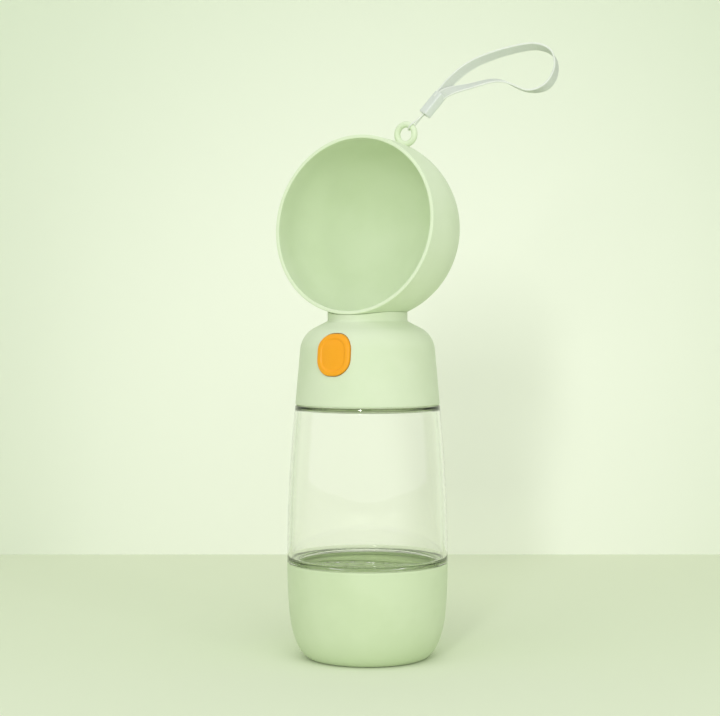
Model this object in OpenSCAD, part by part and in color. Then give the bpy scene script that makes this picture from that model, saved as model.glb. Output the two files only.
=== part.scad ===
// Travel water bottle for a dog: a food cup screws under a clear bottle, and a head with a tipped
// drinking bowl screws on top. A push button at the front opens a sprung valve between them.
// The bottle's axis is Z, the floor is z = 0, and the bowl and the button face -Y.

/* [Food cup] */
// Outside diameter where the food cup meets the bottle
base_d = 75; // [71:0.5:82]
// Height of the food cup, floor to joint
cup_h = 44.8; // [41:0.1:60]
// Thickness of the cup's wall and floor
cup_wall = 2.2; // [1.6:0.1:2.6]
// Height of the rounded bottom corner
corner_h = 27.6; // [20:0.1:29]
// Width of the rounded bottom corner
corner_w = 11; // [7:0.1:14]
// Lean of the side where the bottom corner starts, in degrees
cup_lean = 4.75; // [2:0.05:7]

/* [Bottle] */
// Height of the clear wall between its two joints
bottle_h = 73.55; // [60:0.05:110]
// Outside diameter where the bottle meets the head
head_d = 67.4; // [65:0.1:70]
// Thickness of the clear wall
bottle_wall = 2; // [1.4:0.1:2.6]
// Thickness of the clear shoulder
shoulder_t = 1.2; // [1:0.1:2.4]
// Thickness of the clear floor
bottle_floor = 2.4; // [2:0.1:5]
// Radius inside the bottom of the bottle
floor_round = 4; // [2:0.1:8]
// Height of the threaded foot that reaches down into the food cup
skirt_h = 11; // [10:0.1:14]
// Outside diameter of that foot, without its thread
skirt_d = 66.8; // [64:0.1:67]
// Thickness of that foot's wall
skirt_wall = 1.8; // [1.6:0.1:3]
// Thickness of the clear ledge above the foot
ledge_h = 1.6; // [1.2:0.1:3]
// Height of the threaded neck above the shoulder
finish_h = 9.25; // [9:0.05:12]
// Width of the clear shoulder between the threaded neck and the outside
shoulder_w = 5.5; // [5.2:0.1:6.7]
// Thickness of the threaded neck
finish_wall = 2.2; // [1.6:0.1:3]
// Slope of the inside of the clear shoulder and ledge, in degrees
throat_slope = 2; // [0:1:40]

/* [Screw joints] */
// Rise of a thread in one full turn
thread_lead = 8; // [6:0.5:9]
// How far a thread stands out of its wall
thread_depth = 0.9; // [0.6:0.05:1.1]
// Width of a thread at its foot
thread_foot = 1.8; // [1.2:0.1:2.2]
// Share of a turn that each of the two threads runs
thread_share = 0.55; // [0.4:0.05:0.6]
// Gap between a screwed wall and the thread that runs in it
thread_gap = 0.3; // [0.2:0.05:0.4]
// Height of the threads above the bottom of the bottle's threaded foot
skirt_thread_rise = 2.5; // [2:0.1:3]
// Height of the threads above the bottom of the bottle's neck
finish_thread_rise = 2.05; // [1.8:0.05:2.3]
// Gap that shows at each joint
joint_gap = 0.3; // [0.2:0.05:0.6]
// Thickness of the two joint seals
seal_h = 1.2; // [0.8:0.1:1.6]
// Width of the food cup's seal
cup_seal_w = 1.9; // [1.4:0.1:2.2]
// Width of the bottle mouth's seal
mouth_seal_w = 2.6; // [2:0.1:3.2]
// How far the mouth's seal reaches past the threaded neck
mouth_seal_over = 0.7; // [0.4:0.1:0.9]

/* [Collar] */
// Lean of the collar's side, in degrees
collar_lean = 5.1; // [3:0.1:7]
// Slope of the shoulder, in degrees
shoulder_slope = 27; // [20:0.5:32]
// Radius between the side and the shoulder
shoulder_round = 12.5; // [8:0.1:14]
// Thickness of the collar's wall
collar_wall = 1.8; // [1.5:0.1:2.2]
// Diameter of the neck under the bowl
neck_d = 37.2; // [36:0.1:40]
// Height of the neck's foot above the joint
neck_rise = 38.75; // [38:0.05:44]
// Thickness of the plate across the neck
plate_h = 2; // [1.6:0.1:2.4]
// Height of that plate's underside below the neck's foot
plate_drop = 4.2; // [4:0.1:4.5]
// Height of the snap bead above the joint
snap_rise = 8.2; // [7.6:0.1:8.6]
// Radius of the snap bead
snap_r = 0.45; // [0.3:0.05:0.5]
// Width of the four keys that stop the inner cap turning
key_w = 3; // [2:0.1:4]
// Height of those keys
key_h = 4; // [3:0.1:4.5]
// How far those keys stand out of the collar's wall
key_depth = 1; // [0.6:0.1:1]
// Thickness of the two rails beside the button
rail_w = 1.4; // [1:0.1:1.6]
// Gap between a rail and the button
rail_gap = 0.3; // [0.2:0.05:0.4]
// Distance of the rails' back edge from the bottle's axis
rail_back = 18; // [17:0.5:20]

/* [Drinking bowl] */
// Diameter of the round back of the bowl
bowl_d = 85.4; // [80:0.2:92]
// Lean of the bowl's straight side towards its rim, in degrees
bowl_lean = 4; // [2:0.1:8]
// Distance from the middle of the round back to the rim
bowl_front = 14.4; // [12:0.1:20]
// Angle by which the bowl's mouth looks up, in degrees
bowl_tilt = 6.8; // [0:0.1:12]
// How far the middle of the bowl sits behind the bottle's axis
bowl_back = 0.44; // [0:0.02:3]
// Height of the bowl's lowest point above the neck's foot
bowl_lift = 0.15; // [0:0.05:1]
// Thickness of the bowl's wall
bowl_wall = 1.7; // [1.4:0.1:2.4]
// Gap at the seam between the neck and the bowl
seam_gap = 0.1; // [0.05:0.05:0.3]

/* [Eyelet] */
// Radius of the middle line of the eyelet's ring
eye_r = 4.5; // [4.2:0.1:5]
// Thickness of the eyelet's ring
eye_t = 2.9; // [2.4:0.1:3.2]
// Turn of the eyelet from the top of the bowl, in degrees
eye_turn = 22; // [0:1:30]
// Distance of the eyelet behind the bottle's axis
eye_back = 4.9; // [3:0.1:8]
// How much of the ring's thickness sinks into the bowl's wall
eye_sink = 1.65; // [1.5:0.05:1.65]

/* [Button] */
// Width of the button
button_w = 17; // [16:0.1:19]
// Height of the button
button_h = 19.2; // [17:0.1:19.8]
// Corner radius of the button
button_round = 7.6; // [5:0.1:8]
// Height of the button's middle above the joint
button_rise = 23.65; // [23:0.05:25]
// How far the button stands out of the collar
button_proud = 0.9; // [0.4:0.1:1.4]
// Thickness of the button behind the collar's face
button_depth = 3.4; // [3:0.1:4]
// Gap round the button
button_gap = 0.25; // [0.15:0.05:0.4]
// Width of the raised border round the button's dished face
button_border = 2.1; // [1.4:0.1:3]
// Depth of the dished face
button_dish = 0.5; // [0.2:0.1:0.8]
// Width of the flange that keeps the button in the collar
flange_w = 0.9; // [0.6:0.1:1]
// Travel of the button
button_travel = 2.5; // [1.5:0.1:2.5]
// Distance between the button's two arms
arm_gap = 9.2; // [9:0.1:9.6]
// Thickness of an arm
arm_w = 1.8; // [1.4:0.1:2]
// How far the button's body reaches back where the shoulder curves away
button_body = 4.6; // [4:0.1:5]
// Distance of the spring's seat behind the button's back
spring_seat = 0.9; // [0.6:0.1:1.2]
// Thickness of the disc that the spring sits on
spring_disc_h = 3; // [2:0.1:3]
// Gap between that disc and the deck
disc_gap = 0.2; // [0.1:0.05:0.4]
// Length of the stub inside the spring on the button
button_stub = 2.5; // [1.5:0.1:3]
// Length of the stub inside the spring on the chamber
chamber_stub = 2; // [1:0.1:2.5]
// Gap between a spring and the stub inside it
stub_gap = 0.2; // [0.1:0.05:0.3]

/* [Valve] */
// Distance of the valve in front of the bottle's axis
valve_front = 9; // [8.5:0.1:9.5]
// Diameter of the water port
port_d = 9.2; // [8:0.1:10]
// Width of the raised seat round the port
seat_w = 1; // [0.6:0.1:1.4]
// Height of the raised seat
seat_h = 0.6; // [0.4:0.1:1]
// Diameter of the stem
stem_d = 3.6; // [3:0.1:3.8]
// Diameter of the cross pin
pin_d = 1.6; // [1.2:0.1:1.8]
// Height of the cross pin above the deck
pin_rise = 15.6; // [15.2:0.1:16]
// Diameter of the valve plug
plug_d = 12.4; // [11.8:0.1:13]
// Thickness of the valve plug
plug_h = 3; // [2:0.1:4]
// Thickness of the stem's foot that holds the plug
stem_foot_h = 1; // [0.8:0.1:1.6]
// Width of that foot round the stem
stem_foot_w = 1.6; // [1.2:0.1:2]
// Length of the stem above the middle of the cross pin
stem_end = 2; // [1.4:0.1:2.4]
// Wire thickness of the two springs
wire_d = 0.6; // [0.4:0.05:0.7]
// Diameter of the valve spring, wire middle to wire middle
valve_spring_d = 7.5; // [7.2:0.1:7.6]
// Turns of the valve spring
valve_spring_turns = 3.5; // [3:0.5:3.5]
// Diameter of the button spring, wire middle to wire middle
button_spring_d = 5; // [4.4:0.1:5.2]
// Turns of the button spring
button_spring_turns = 6; // [5:0.5:7]
// Thickness of the washers at the valve spring's ends
washer_h = 0.5; // [0.4:0.1:0.6]
// Thickness of the ring that seals the stem
stem_seal_t = 1.28; // [1.1:0.02:1.4]

/* [Water way] */
// Thickness of the deck over the bottle's mouth
deck_h = 2.2; // [1.8:0.1:2.4]
// Width inside the valve chamber
chamber_w = 12; // [11.4:0.1:13]
// Height inside the valve chamber, up to its seal
chamber_h = 5.6; // [5.2:0.1:6]
// Wall of the valve chamber
chamber_wall = 1.4; // [1.2:0.1:1.8]
// Room in the chamber in front of the port
chamber_ahead = 1.9; // [1.4:0.1:2]
// Room in the chamber behind the outlet tube
chamber_behind = 1; // [0.6:0.1:1.4]
// Thickness of the seal under the chamber's lid
chamber_seal_h = 0.8; // [0.6:0.1:1]
// Thickness of the chamber's lid
lid_h = 2; // [1.8:0.1:2.2]
// Distance of the outlet tube behind the bottle's axis
tube_back = 6; // [5.5:0.1:6.5]
// Outside diameter of the outlet tube
tube_d = 10; // [9:0.1:10.4]
// Wall of the outlet tube
tube_wall = 1.4; // [1.2:0.1:1.6]
// Depth of the outlet tube in the chamber's lid
tube_sink = 1.2; // [0.8:0.1:1.2]
// Width of the seal and the pad round the outlet tube
pad_w = 2.8; // [2:0.1:3]
// Thickness of the seal round the outlet tube
outlet_seal_h = 0.8; // [0.6:0.1:1]

/* [Screws] */
// Diameter of the small screws
screw_d = 2.2; // [1.8:0.1:2.4]
// Head diameter of the small screws
screw_head_d = 4.2; // [3.6:0.1:4.4]
// Head height of the small screws
screw_head_h = 1.4; // [1:0.1:1.6]
// Length of the screws in the chamber's lid
lid_screw_l = 6.4; // [5:0.1:7]
// Length of the screws in the bowl
bowl_screw_l = 6; // [5:0.1:6.2]
// Distance of the bowl's screws from the bottle's axis
bowl_screw_r = 12.3; // [12:0.1:12.6]
// Wall of plastic round a small screw
boss_wall = 1.5; // [1.2:0.1:1.6]
// Distance of the lid's screws from the chamber's two ends
lid_screw_in = 4; // [3.6:0.1:5]
// Gap between a screw and the plain hole that it passes
screw_gap = 0.2; // [0.1:0.05:0.3]
// Room past the end of a screw
screw_room = 0.2; // [0.1:0.1:0.5]

/* [Wrist strap] */
// Width of the webbing
strap_w = 4.6; // [3:0.1:5]
// Thickness of the webbing
strap_t = 0.9; // [0.6:0.1:1.1]
// Thickness of the thin cord
cord_d = 0.8; // [0.6:0.05:1]
// Width of the bead
bead_w = 5.6; // [5:0.1:7]
// Depth of the bead
bead_t = 4.2; // [4:0.1:5]
// Length of the bead
bead_l = 12.2; // [10:0.1:14]
// Corner radius of the bead
bead_round = 0.7; // [0.3:0.1:1.2]

/* [Hidden] */

// Smoothness of round faces
$fn = 96;
// Gap of a running or seated fit, on the radius
fit = 0.05;
// Gap of a pressed seat, on the radius
press = 0.02;
// Overlap that makes two shapes of one piece meet
bite = 0.3;
// Length that clears any wall in a cut
past = 60;
green = "#d5e6bd";
orange = "#f9ac2b";
clear = "#eef6e4";
rubber = "#e4e8dc";
plastic = "#e9eadf";
steel = "#b9bcbe";
webbing = "#d3d9cf";

// Heights up the axis
joint_top = cup_h - joint_gap;
head_z = cup_h + bottle_h;
shoulder_z = head_z - joint_gap;
lip_z = head_z + finish_h;
deck_z = lip_z + seal_h;
deck_top = deck_z + deck_h;
neck_z = head_z + neck_rise;
bowl_z = neck_z + bowl_lift + bowl_d / 2;
plate_z = neck_z - plate_drop;
plate_top = plate_z + plate_h;
button_z = head_z + button_rise;

// Snap bead and keys between the collar and the inner cap
snap_z = head_z + snap_rise;
cap_low = head_z + 2 * joint_gap;
cap_inset = collar_wall + 2 * fit;

// Screw walls
base_r = base_d / 2;
skirt_r = skirt_d / 2;
cup_bore_r = skirt_r + thread_depth + thread_gap;
finish_r = head_d / 2 - shoulder_w;
cap_bore_r = finish_r + thread_depth + thread_gap;
thread_rise = thread_lead * thread_share;
// A thread inside a wall starts this far above the one that it runs on
thread_step = thread_lead / 4;
thread_steps = 20;

// The cup's side curves into an elliptical corner without a kink
corner_start = atan(tan(cup_lean) * corner_h / corner_w);
corner_z = corner_h * (1 - sin(corner_start));
cup_curve = tan(cup_lean) / (2 * (cup_h - corner_z));
corner_mid = base_r - cup_curve * pow(cup_h - corner_z, 2) - corner_w * cos(corner_start);

// Valve chamber
valve_y = -valve_front;
stem_r = stem_d / 2;
chamber_front = valve_y - port_d / 2 - chamber_ahead;
chamber_back = tube_back + tube_d / 2 + chamber_behind;
chamber_top = deck_top + chamber_h;
lid_z = chamber_top + chamber_seal_h;
lid_top = lid_z + lid_h;
lid_screw_x = chamber_w / 2 + chamber_wall + screw_d / 2 + boss_wall - 2 * bite;
lid_screw_y = [chamber_front + lid_screw_in, chamber_back - lid_screw_in];
seat_z = deck_z - seat_h;
plug_top = seat_z - fit;
stem_foot_z = plug_top - plug_h - stem_foot_h;
pin_z = deck_top + pin_rise;
pin_l = arm_gap + 2 * arm_w + 0.4;
washer_r = valve_spring_d / 2 + wire_d;
spring_foot = lid_top + washer_h;
spring_head = pin_z - pin_d / 2 - washer_h;

// The button's arms push the pin down a 45 degree ramp
ramp_y = valve_y - (pin_d / 2 + fit) * sqrt(0.5);
ramp_z = pin_z + (pin_d / 2 + fit) * sqrt(0.5);
ramp_lead = 1;
arm_bottom = ramp_z - button_travel - ramp_lead;
arm_top = ramp_z + ramp_lead;
button_back = -(head_d / 2 - button_rise * tan(collar_lean) - button_depth);
spring_disc_r = button_spring_d / 2 + wire_d;
spring_z = deck_top + spring_disc_r + disc_gap;
spring_seat_y = button_back + spring_seat;
stub_r = button_spring_d / 2 - wire_d / 2 - stub_gap;
chamber_face = chamber_front - chamber_wall;
rail_x = button_w / 2 + flange_w + rail_gap + rail_w / 2;

// Outlet tube and its pad under the bowl
tube_r = tube_d / 2;
tube_z = lid_top - tube_sink;
pad_z = plate_top + outlet_seal_h;
pad_r = tube_r + pad_w;
bowl_r = bowl_d / 2;
inner_r = bowl_r - bowl_wall;
// Height at which the neck, the pad and the bosses have all met the bowl
meet_z = bowl_z - bowl_r + 6;
tube_top = bowl_z - sqrt(pow(inner_r, 2) - pow(tube_back - bowl_back, 2));

// The bowl's straight side cuts this deep into its round back, so the two meet at a clear corner
bowl_sag = 0.03;
// Turn about the bowl's middle from that corner to a place well inside the straight side
bowl_turn = 3.5;
rim_r = (bowl_r - bowl_sag) / cos(bowl_lean) - bowl_front * tan(bowl_lean);

// Screws under the bowl
bowl_screw_turns = [-90, 10, 170];
screw_boss_r = screw_d / 2 + boss_wall;

// Middle of the eyelet's ring
eye_out = bowl_r + eye_r + eye_t / 2 - eye_sink;
eye = [eye_out * sin(eye_turn), eye_back, bowl_z + eye_out * cos(eye_turn)];

// The strap stands in an upright plane through the eyelet, turned this far from the X axis
strap_turn = 30;
// Points of the webbing in that plane from the eyelet's middle: across, up, behind the plane, and the
// angle between the webbing's width and the plane
strap_points = [
    [14.2, 16.2, 1, 0], [17, 19.8, 1, 8], [20.5, 24, 0.7, 18], [26, 29, 0.4, 22],
    [32, 32.8, 0.2, 28], [38.8, 35.7, 0, 35], [45.2, 37.8, 0, 40], [51.6, 39.4, 0, 43],
    [56.8, 40.3, 0, 47], [61, 40.3, 0, 56], [64.5, 39.3, 0, 68], [67.2, 37.5, 0, 86],
    [68.8, 34.8, 0, 108], [69.4, 31.4, 0, 120], [68.8, 27.8, 0, 132], [67.3, 24.6, 0, 142],
    [64.8, 22, 0, 136], [61.4, 20.5, 0, 116], [57.8, 20, 0, 98], [54.6, 20.4, 0, 90],
    [51.4, 21.7, 0, 88], [48.2, 23.2, 0, 84], [45.2, 24.3, 0, 78], [42, 24.7, 0, 70],
    [38.6, 24.4, -0.2, 64], [34.4, 23.4, -0.4, 60], [29.4, 22, -0.7, 54], [24.6, 20.9, -1, 44],
    [20.6, 19.8, -1.2, 28], [17.4, 18.4, -1.2, 8], [14.2, 15.8, -1, 0]
];
strap_steps = 2;
// Bottom and direction of the bead in the strap's plane
bead_at = [8.6, 9];
bead_rise = 51;
// Turn of the bead about its own length
bead_twist = 35;
// Points of the thin cord from the eyelet's middle, in space
cord_points = [
    [9.6, 5.7, 12.5], [8.7, 5.1, 11.2], [7.7, 4.5, 9.8], [6.5, 3.7, 8.1], [5, 2.9, 6], [3.7, 2.3, 4.3],
    [2.6, 1.8, 3], [1.8, 1, 2.2], [1.6, 0.1, 1.9], [1.8, -0.9, 2.1], [2.4, -1.6, 2.7],
    [3.2, -1.9, 3.6], [4.1, -1.4, 4.6], [4.9, -0.3, 5.5], [5.8, 1.1, 6.7], [6.8, 2.2, 8.1],
    [7.7, 3, 9.3], [8.7, 3.6, 10.7], [9.7, 4.2, 12.2]
];
cord_steps = 3;
cord_sides = 8;

// Arc about [x, y] from angle a to angle b in n steps
function arc(x, y, r, a, b, n) =
    [for (i = [0:n]) [x + r * cos(a + (b - a) * i / n), y + r * sin(a + (b - a) * i / n)]];

// Outline of the cup's side and corner, moved inward by inset, from the foot to height top
function cupLine(inset, top) = concat(
    [for (i = [0:16])
        let (a = 90 - (90 - corner_start) * i / 16)
        let (n = [cos(a) / corner_w, -sin(a) / corner_h])
        [corner_mid + corner_w * cos(a), corner_h * (1 - sin(a))] - inset * n / norm(n)],
    [for (i = [1:8]) let (z = corner_z + (top - corner_z) * i / 8) [cupSide(z) - inset, z]]
);
function cupSide(z) = base_r - cup_curve * pow(cup_h - z, 2);

// Radius of the clear wall at height z
function bottleSide(z) = base_r - (base_d - head_d) / 2 * pow((z - cup_h) / bottle_h, 2);

// Outline of the collar, moved inward by inset, from the joint to height top
function collarCorner(inset) =
    let (slope = tan(collar_lean) * tan(shoulder_slope))
    let (r = (head_d / 2 - inset / cos(collar_lean) - tan(collar_lean)
        * (neck_z + neck_d / 2 * tan(shoulder_slope) - inset / cos(shoulder_slope) - head_z))
        / (1 - slope))
    [r, shoulderHeight(r, inset)];
function shoulderHeight(r, inset) =
    neck_z - (r - neck_d / 2) * tan(shoulder_slope) - inset / cos(shoulder_slope);
function collarSide(z, inset) =
    head_d / 2 - (z - head_z) * tan(collar_lean) - inset / cos(collar_lean);
function collarLine(inset, bottom, top) =
    let (turn = 90 - shoulder_slope - collar_lean)
    let (r = shoulder_round - inset)
    let (start = collarCorner(inset)
        - r * tan(turn / 2) * [-sin(collar_lean), cos(collar_lean)])
    let (mid = start - r * [cos(collar_lean), sin(collar_lean)])
    let (neck_r = neck_d / 2 - inset)
    concat(
        [[collarSide(bottom, inset), bottom]],
        arc(mid[0], mid[1], r, collar_lean, collar_lean + turn, 8),
        [[neck_r, shoulderHeight(neck_r, inset)], [neck_r, top]]
    );

// A smooth line through points, with a few steps between each two
function spline(p, steps) = concat(
    [for (i = [0:len(p) - 2], j = [0:steps - 1])
        let (t = j / steps)
        let (a = p[max(i - 1, 0)], b = p[i], c = p[i + 1], d = p[min(i + 2, len(p) - 1)])
        b + t * (c - a) / 2 + t * t * (a - 2.5 * b + 2 * c - d / 2)
            + t * t * t * (1.5 * (b - c) + (d - a) / 2)],
    [p[len(p) - 1]]
);
function unit(v) = v / norm(v);
function along(p, i) = unit(p[min(i + 1, len(p) - 1)] - p[max(i - 1, 0)]);

// Solid between rings of points that run anticlockwise about the way from one ring to the next
module skin(rings) {
    m = len(rings[0]);
    n = len(rings);
    polyhedron(
        points = [for (ring = rings) each ring],
        faces = concat(
            [[for (k = [0:m - 1]) k]],
            [for (i = [0:n - 2], k = [0:m - 1])
                [i * m + k, (i + 1) * m + (k + 1) % m, i * m + (k + 1) % m]],
            [for (i = [0:n - 2], k = [0:m - 1])
                [i * m + k, (i + 1) * m + k, (i + 1) * m + (k + 1) % m]],
            [[for (k = [m - 1:-1:0]) (n - 1) * m + k]]
        )
    );
}

// Round tube along points
module tube(line, d, sides) {
    skin([for (i = [0:len(line) - 1])
        let (t = along(line, i))
        let (u = unit(cross(abs(t[2]) > 0.9 ? [1, 0, 0] : [0, 0, 1], t)))
        let (v = cross(t, u))
        [for (k = [0:sides - 1]) line[i] + d / 2 * (cos(360 * k / sides) * u + sin(360 * k / sides) * v)]]);
}

// Coil spring from z = 0 up, with its first and last wire inside its length
function coilLine(d, length, turns, rings) = [for (i = [0:rings * turns])
    let (a = 360 * i / rings)
    [d / 2 * cos(a), d / 2 * sin(a), wire_d / 2 + (length - wire_d) * i / (rings * turns)]];
module coil(d, length, turns) {
    rings = 12;
    skin([for (i = [0:rings * turns])
        let (a = 360 * i / rings)
        let (out = [cos(a), sin(a), 0])
        [for (k = [0:5])
            coilLine(d, length, turns, rings)[i]
                + wire_d / 2 * (cos(-60 * k) * out + sin(-60 * k) * [0, 0, 1])]]);
}

// Two threads on a wall of radius r, side 1 for outward and -1 for inward, rising from z
module threads(r, z, side) {
    tip = thread_foot / 4;
    foot = thread_foot / 2;
    for (start = [0, 180])
        skin([for (i = [0:thread_steps])
            let (share = i / thread_steps)
            let (a = start + 360 * thread_share * share)
            let (rise = z + thread_rise * share)
            let (fade = min(1, 4 * share, 4 * (1 - share)))
            let (deep = thread_depth * fade - bite * (1 - fade))
            let (line = [[-bite, -foot], [deep, -tip], [deep, tip], [-bite, foot]])
            [for (k = side > 0 ? [3, 2, 1, 0] : [0, 1, 2, 3])
                let (out = r + side * line[k][0] - side * (k == 0 || k == 3 ? bite : 0))
                [out * cos(a), out * sin(a), rise + line[k][1]]]]);
}

// Ring with a square section
module ring(outer, inner, height) {
    difference() {
        cylinder(h = height, r = outer);
        translate([0, 0, -1])
            cylinder(h = height + 2, r = inner);
    }
}

// Plate with round corners in the XY plane, centred
module roundPlate(w, h, r) {
    square([w - 2 * r, h], center = true);
    square([w, h - 2 * r], center = true);
    for (x = [-1, 1], y = [-1, 1])
        translate([x * (w / 2 - r), y * (h / 2 - r)])
            circle(r = r, $fn = 48);
}

// Everything inside the collar's outline, moved inward by inset
module collarBody(inset, bottom, top) {
    line = collarLine(inset, bottom, top);
    rotate_extrude()
        polygon(concat([[0, bottom]], line, [[0, top]]));
}

// The bowl's outside moved out by grow and carried on in front of the rim
module bowlSection(grow, ahead) {
    r = bowl_r + grow;
    side = r - bowl_sag;
    end = bowl_front + ahead;
    intersection() {
        circle(r = r, $fn = 128);
        translate([0, -r - 1])
            square([r + 1, 1 + r + r * sin(bowl_lean + bowl_turn)]);
    }
    polygon([
        [0, side * sin(bowl_lean) - bite], [side * cos(bowl_lean), side * sin(bowl_lean)],
        [side / cos(bowl_lean) - end * tan(bowl_lean), end], [0, end]
    ]);
}
module placeBowl() {
    translate([0, bowl_back, bowl_z])
        rotate([90 - bowl_tilt, 0, 0])
            children();
}
module bowlBody(grow, ahead) {
    placeBowl()
        rotate_extrude()
            bowlSection(grow, ahead);
}

// Column along -Y with the button's outline, larger by grow
module buttonColumn(grow) {
    translate([0, 0, button_z])
        rotate([90, 0, 0])
            linear_extrude(height = past)
                roundPlate(button_w + 2 * grow, button_h + 2 * grow, button_round + grow);
}
// Layer of the collar's shape between two insets, inside the button's outline
module buttonLayer(grow, outside, inside) {
    low = button_z - button_h;
    high = button_z + button_h;
    intersection() {
        buttonColumn(grow);
        difference() {
            collarBody(outside, low, high);
            collarBody(inside, low - 1, high + 1);
        }
    }
}

module atLidScrews() {
    for (x = [-1, 1], y = lid_screw_y)
        translate([x * lid_screw_x, y, 0])
            children();
}
module atBowlScrews() {
    for (a = bowl_screw_turns)
        translate([bowl_screw_r * cos(a), bowl_screw_r * sin(a), 0])
            children();
}
// Screw with its head below z = 0 and its shank up to length
module screw(length) {
    translate([0, 0, -screw_head_h])
        cylinder(h = screw_head_h, r = screw_head_d / 2);
    cylinder(h = length, r = screw_d / 2);
}

// Box from the chamber's front to its back, larger by grow
module chamberBox(grow, bottom, top) {
    translate([-chamber_w / 2 - grow, chamber_front - grow, bottom])
        cube([chamber_w + 2 * grow, chamber_back - chamber_front + 2 * grow, top - bottom]);
}

module base_cup() {
    color(green) {
        difference() {
            rotate_extrude()
                polygon(concat([[0, 0]], cupLine(0, joint_top), [[0, joint_top]]));
            rotate_extrude()
                polygon(concat(
                    [[0, cup_wall]],
                    [for (p = cupLine(cup_wall, joint_top)) [min(p[0], cup_bore_r), p[1]]],
                    [[cup_bore_r, joint_top + 1], [0, joint_top + 1]]
                ));
            translate([0, 0, cup_h - seal_h - joint_gap])
                cylinder(h = past, r = skirt_r + fit + cup_seal_w + fit);
        }
        threads(cup_bore_r, cup_h - skirt_h + skirt_thread_rise + thread_step, -1);
    }
}

module cup_seal() {
    color(rubber)
        translate([0, 0, cup_h - seal_h])
            ring(skirt_r + fit + cup_seal_w, skirt_r + fit, seal_h);
}

module bottle() {
    foot_z = cup_h - skirt_h;
    floor_z = foot_z + bottle_floor;
    skirt_in = skirt_r - skirt_wall;
    finish_in = finish_r - finish_wall;
    neck_in_z = shoulder_z - shoulder_t;
    wall_end = neck_in_z - (bottleSide(neck_in_z) - bottle_wall - finish_in) * tan(throat_slope);
    ledge_z = cup_h + ledge_h;
    wall_start = ledge_z + (bottleSide(ledge_z) - bottle_wall - skirt_in) * tan(throat_slope);
    color(clear, 0.35) {
        rotate_extrude()
            polygon(concat(
                [[0, foot_z], [skirt_r, foot_z], [skirt_r, cup_h]],
                [for (i = [0:20]) let (z = cup_h + (shoulder_z - cup_h) * i / 20) [bottleSide(z), z]],
                [[finish_r, shoulder_z], [finish_r, lip_z], [finish_in, lip_z], [finish_in, neck_in_z]],
                [for (i = [0:16])
                    let (z = wall_end + (wall_start - wall_end) * i / 16)
                    [bottleSide(z) - bottle_wall, z]],
                [[skirt_in, ledge_z]],
                arc(skirt_in - floor_round, floor_z + floor_round, floor_round, 0, -90, 8),
                [[0, floor_z]]
            ));
        threads(skirt_r, cup_h - skirt_h + skirt_thread_rise, 1);
        threads(finish_r, head_z + finish_thread_rise, 1);
    }
}

module mouth_seal() {
    color(rubber)
        translate([0, 0, lip_z])
            ring(finish_r + mouth_seal_over, finish_r + mouth_seal_over - mouth_seal_w, seal_h);
}

module inner_cap() {
    color(plastic) {
        difference() {
            union() {
                difference() {
                    collarBody(cap_inset, cap_low, button_z);
                    translate([0, 0, deck_top])
                        cylinder(h = past, r = base_r);
                    translate([0, 0, cap_low - 1])
                        cylinder(h = deck_z - cap_low + 1, r = cap_bore_r);
                }
                chamberBox(chamber_wall, deck_z + bite, chamber_top);
                atLidScrews()
                    translate([0, 0, deck_z + bite])
                        cylinder(h = chamber_top - deck_z - bite, r = screw_d / 2 + boss_wall, $fn = 32);
                translate([0, valve_y, seat_z])
                    cylinder(h = seat_h + bite, r = port_d / 2 + seat_w);
                rotate_extrude()
                    translate([collarSide(snap_z, cap_inset), snap_z])
                        circle(r = snap_r, $fn = 24);
                translate([0, chamber_face + bite, spring_z])
                    rotate([90, 0, 0])
                        cylinder(h = chamber_stub + bite, r = stub_r, $fn = 32);
            }
            chamberBox(0, deck_top, chamber_top + 1);
            translate([0, valve_y, seat_z - 1])
                cylinder(h = past / 2, r = port_d / 2);
            atLidScrews()
                translate([0, 0, lid_top - lid_screw_l - screw_room])
                    cylinder(h = past, r = screw_d / 2 + fit / 2, $fn = 32);
            for (a = [45:90:315])
                rotate(a)
                    translate([cap_bore_r + key_depth, -key_w / 2 - fit, cap_low - 1])
                        cube([past, key_w + 2 * fit, key_h + 1 + 4 * fit]);
        }
        threads(cap_bore_r, head_z + finish_thread_rise + thread_step, -1);
    }
}

module collar() {
    color(green) {
        difference() {
            collarBody(0, head_z, meet_z);
            collarBody(collar_wall, head_z - 1, bowl_z);
            bowlBody(seam_gap, 1);
            buttonColumn(button_gap);
            rotate_extrude()
                translate([collarSide(snap_z, cap_inset), snap_z])
                    circle(r = snap_r + 2 * fit, $fn = 24);
        }
        difference() {
            intersection() {
                collarBody(collar_wall - bite, head_z, plate_top);
                translate([0, 0, plate_z])
                    cylinder(h = plate_h, r = base_r);
            }
            translate([0, tube_back, 0])
                cylinder(h = 2 * past + plate_z, r = tube_r + fit);
            atBowlScrews()
                translate([0, 0, plate_z - 1])
                    cylinder(h = plate_h + 2, r = screw_d / 2 + screw_gap, $fn = 32);
        }
        intersection() {
            collarBody(collar_wall - bite, head_z, plate_z + bite);
            for (x = [-1, 1])
                translate([x * rail_x - rail_w / 2, -past, deck_top + 2])
                    cube([rail_w, past - rail_back, plate_z + bite - deck_top - 2]);
        }
        intersection() {
            difference() {
                collarBody(collar_wall - bite, head_z, button_z);
                collarBody(collar_wall + key_depth, head_z - 1, button_z + 1);
            }
            for (a = [45:90:315])
                rotate(a)
                    translate([cap_bore_r, -key_w / 2, cap_low])
                        cube([past, key_w, key_h]);
        }
    }
}

module chamber_seal() {
    color(rubber)
        difference() {
            chamberBox(chamber_wall, chamber_top, lid_z);
            chamberBox(0, chamber_top - 1, lid_z + 1);
        }
}

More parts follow.
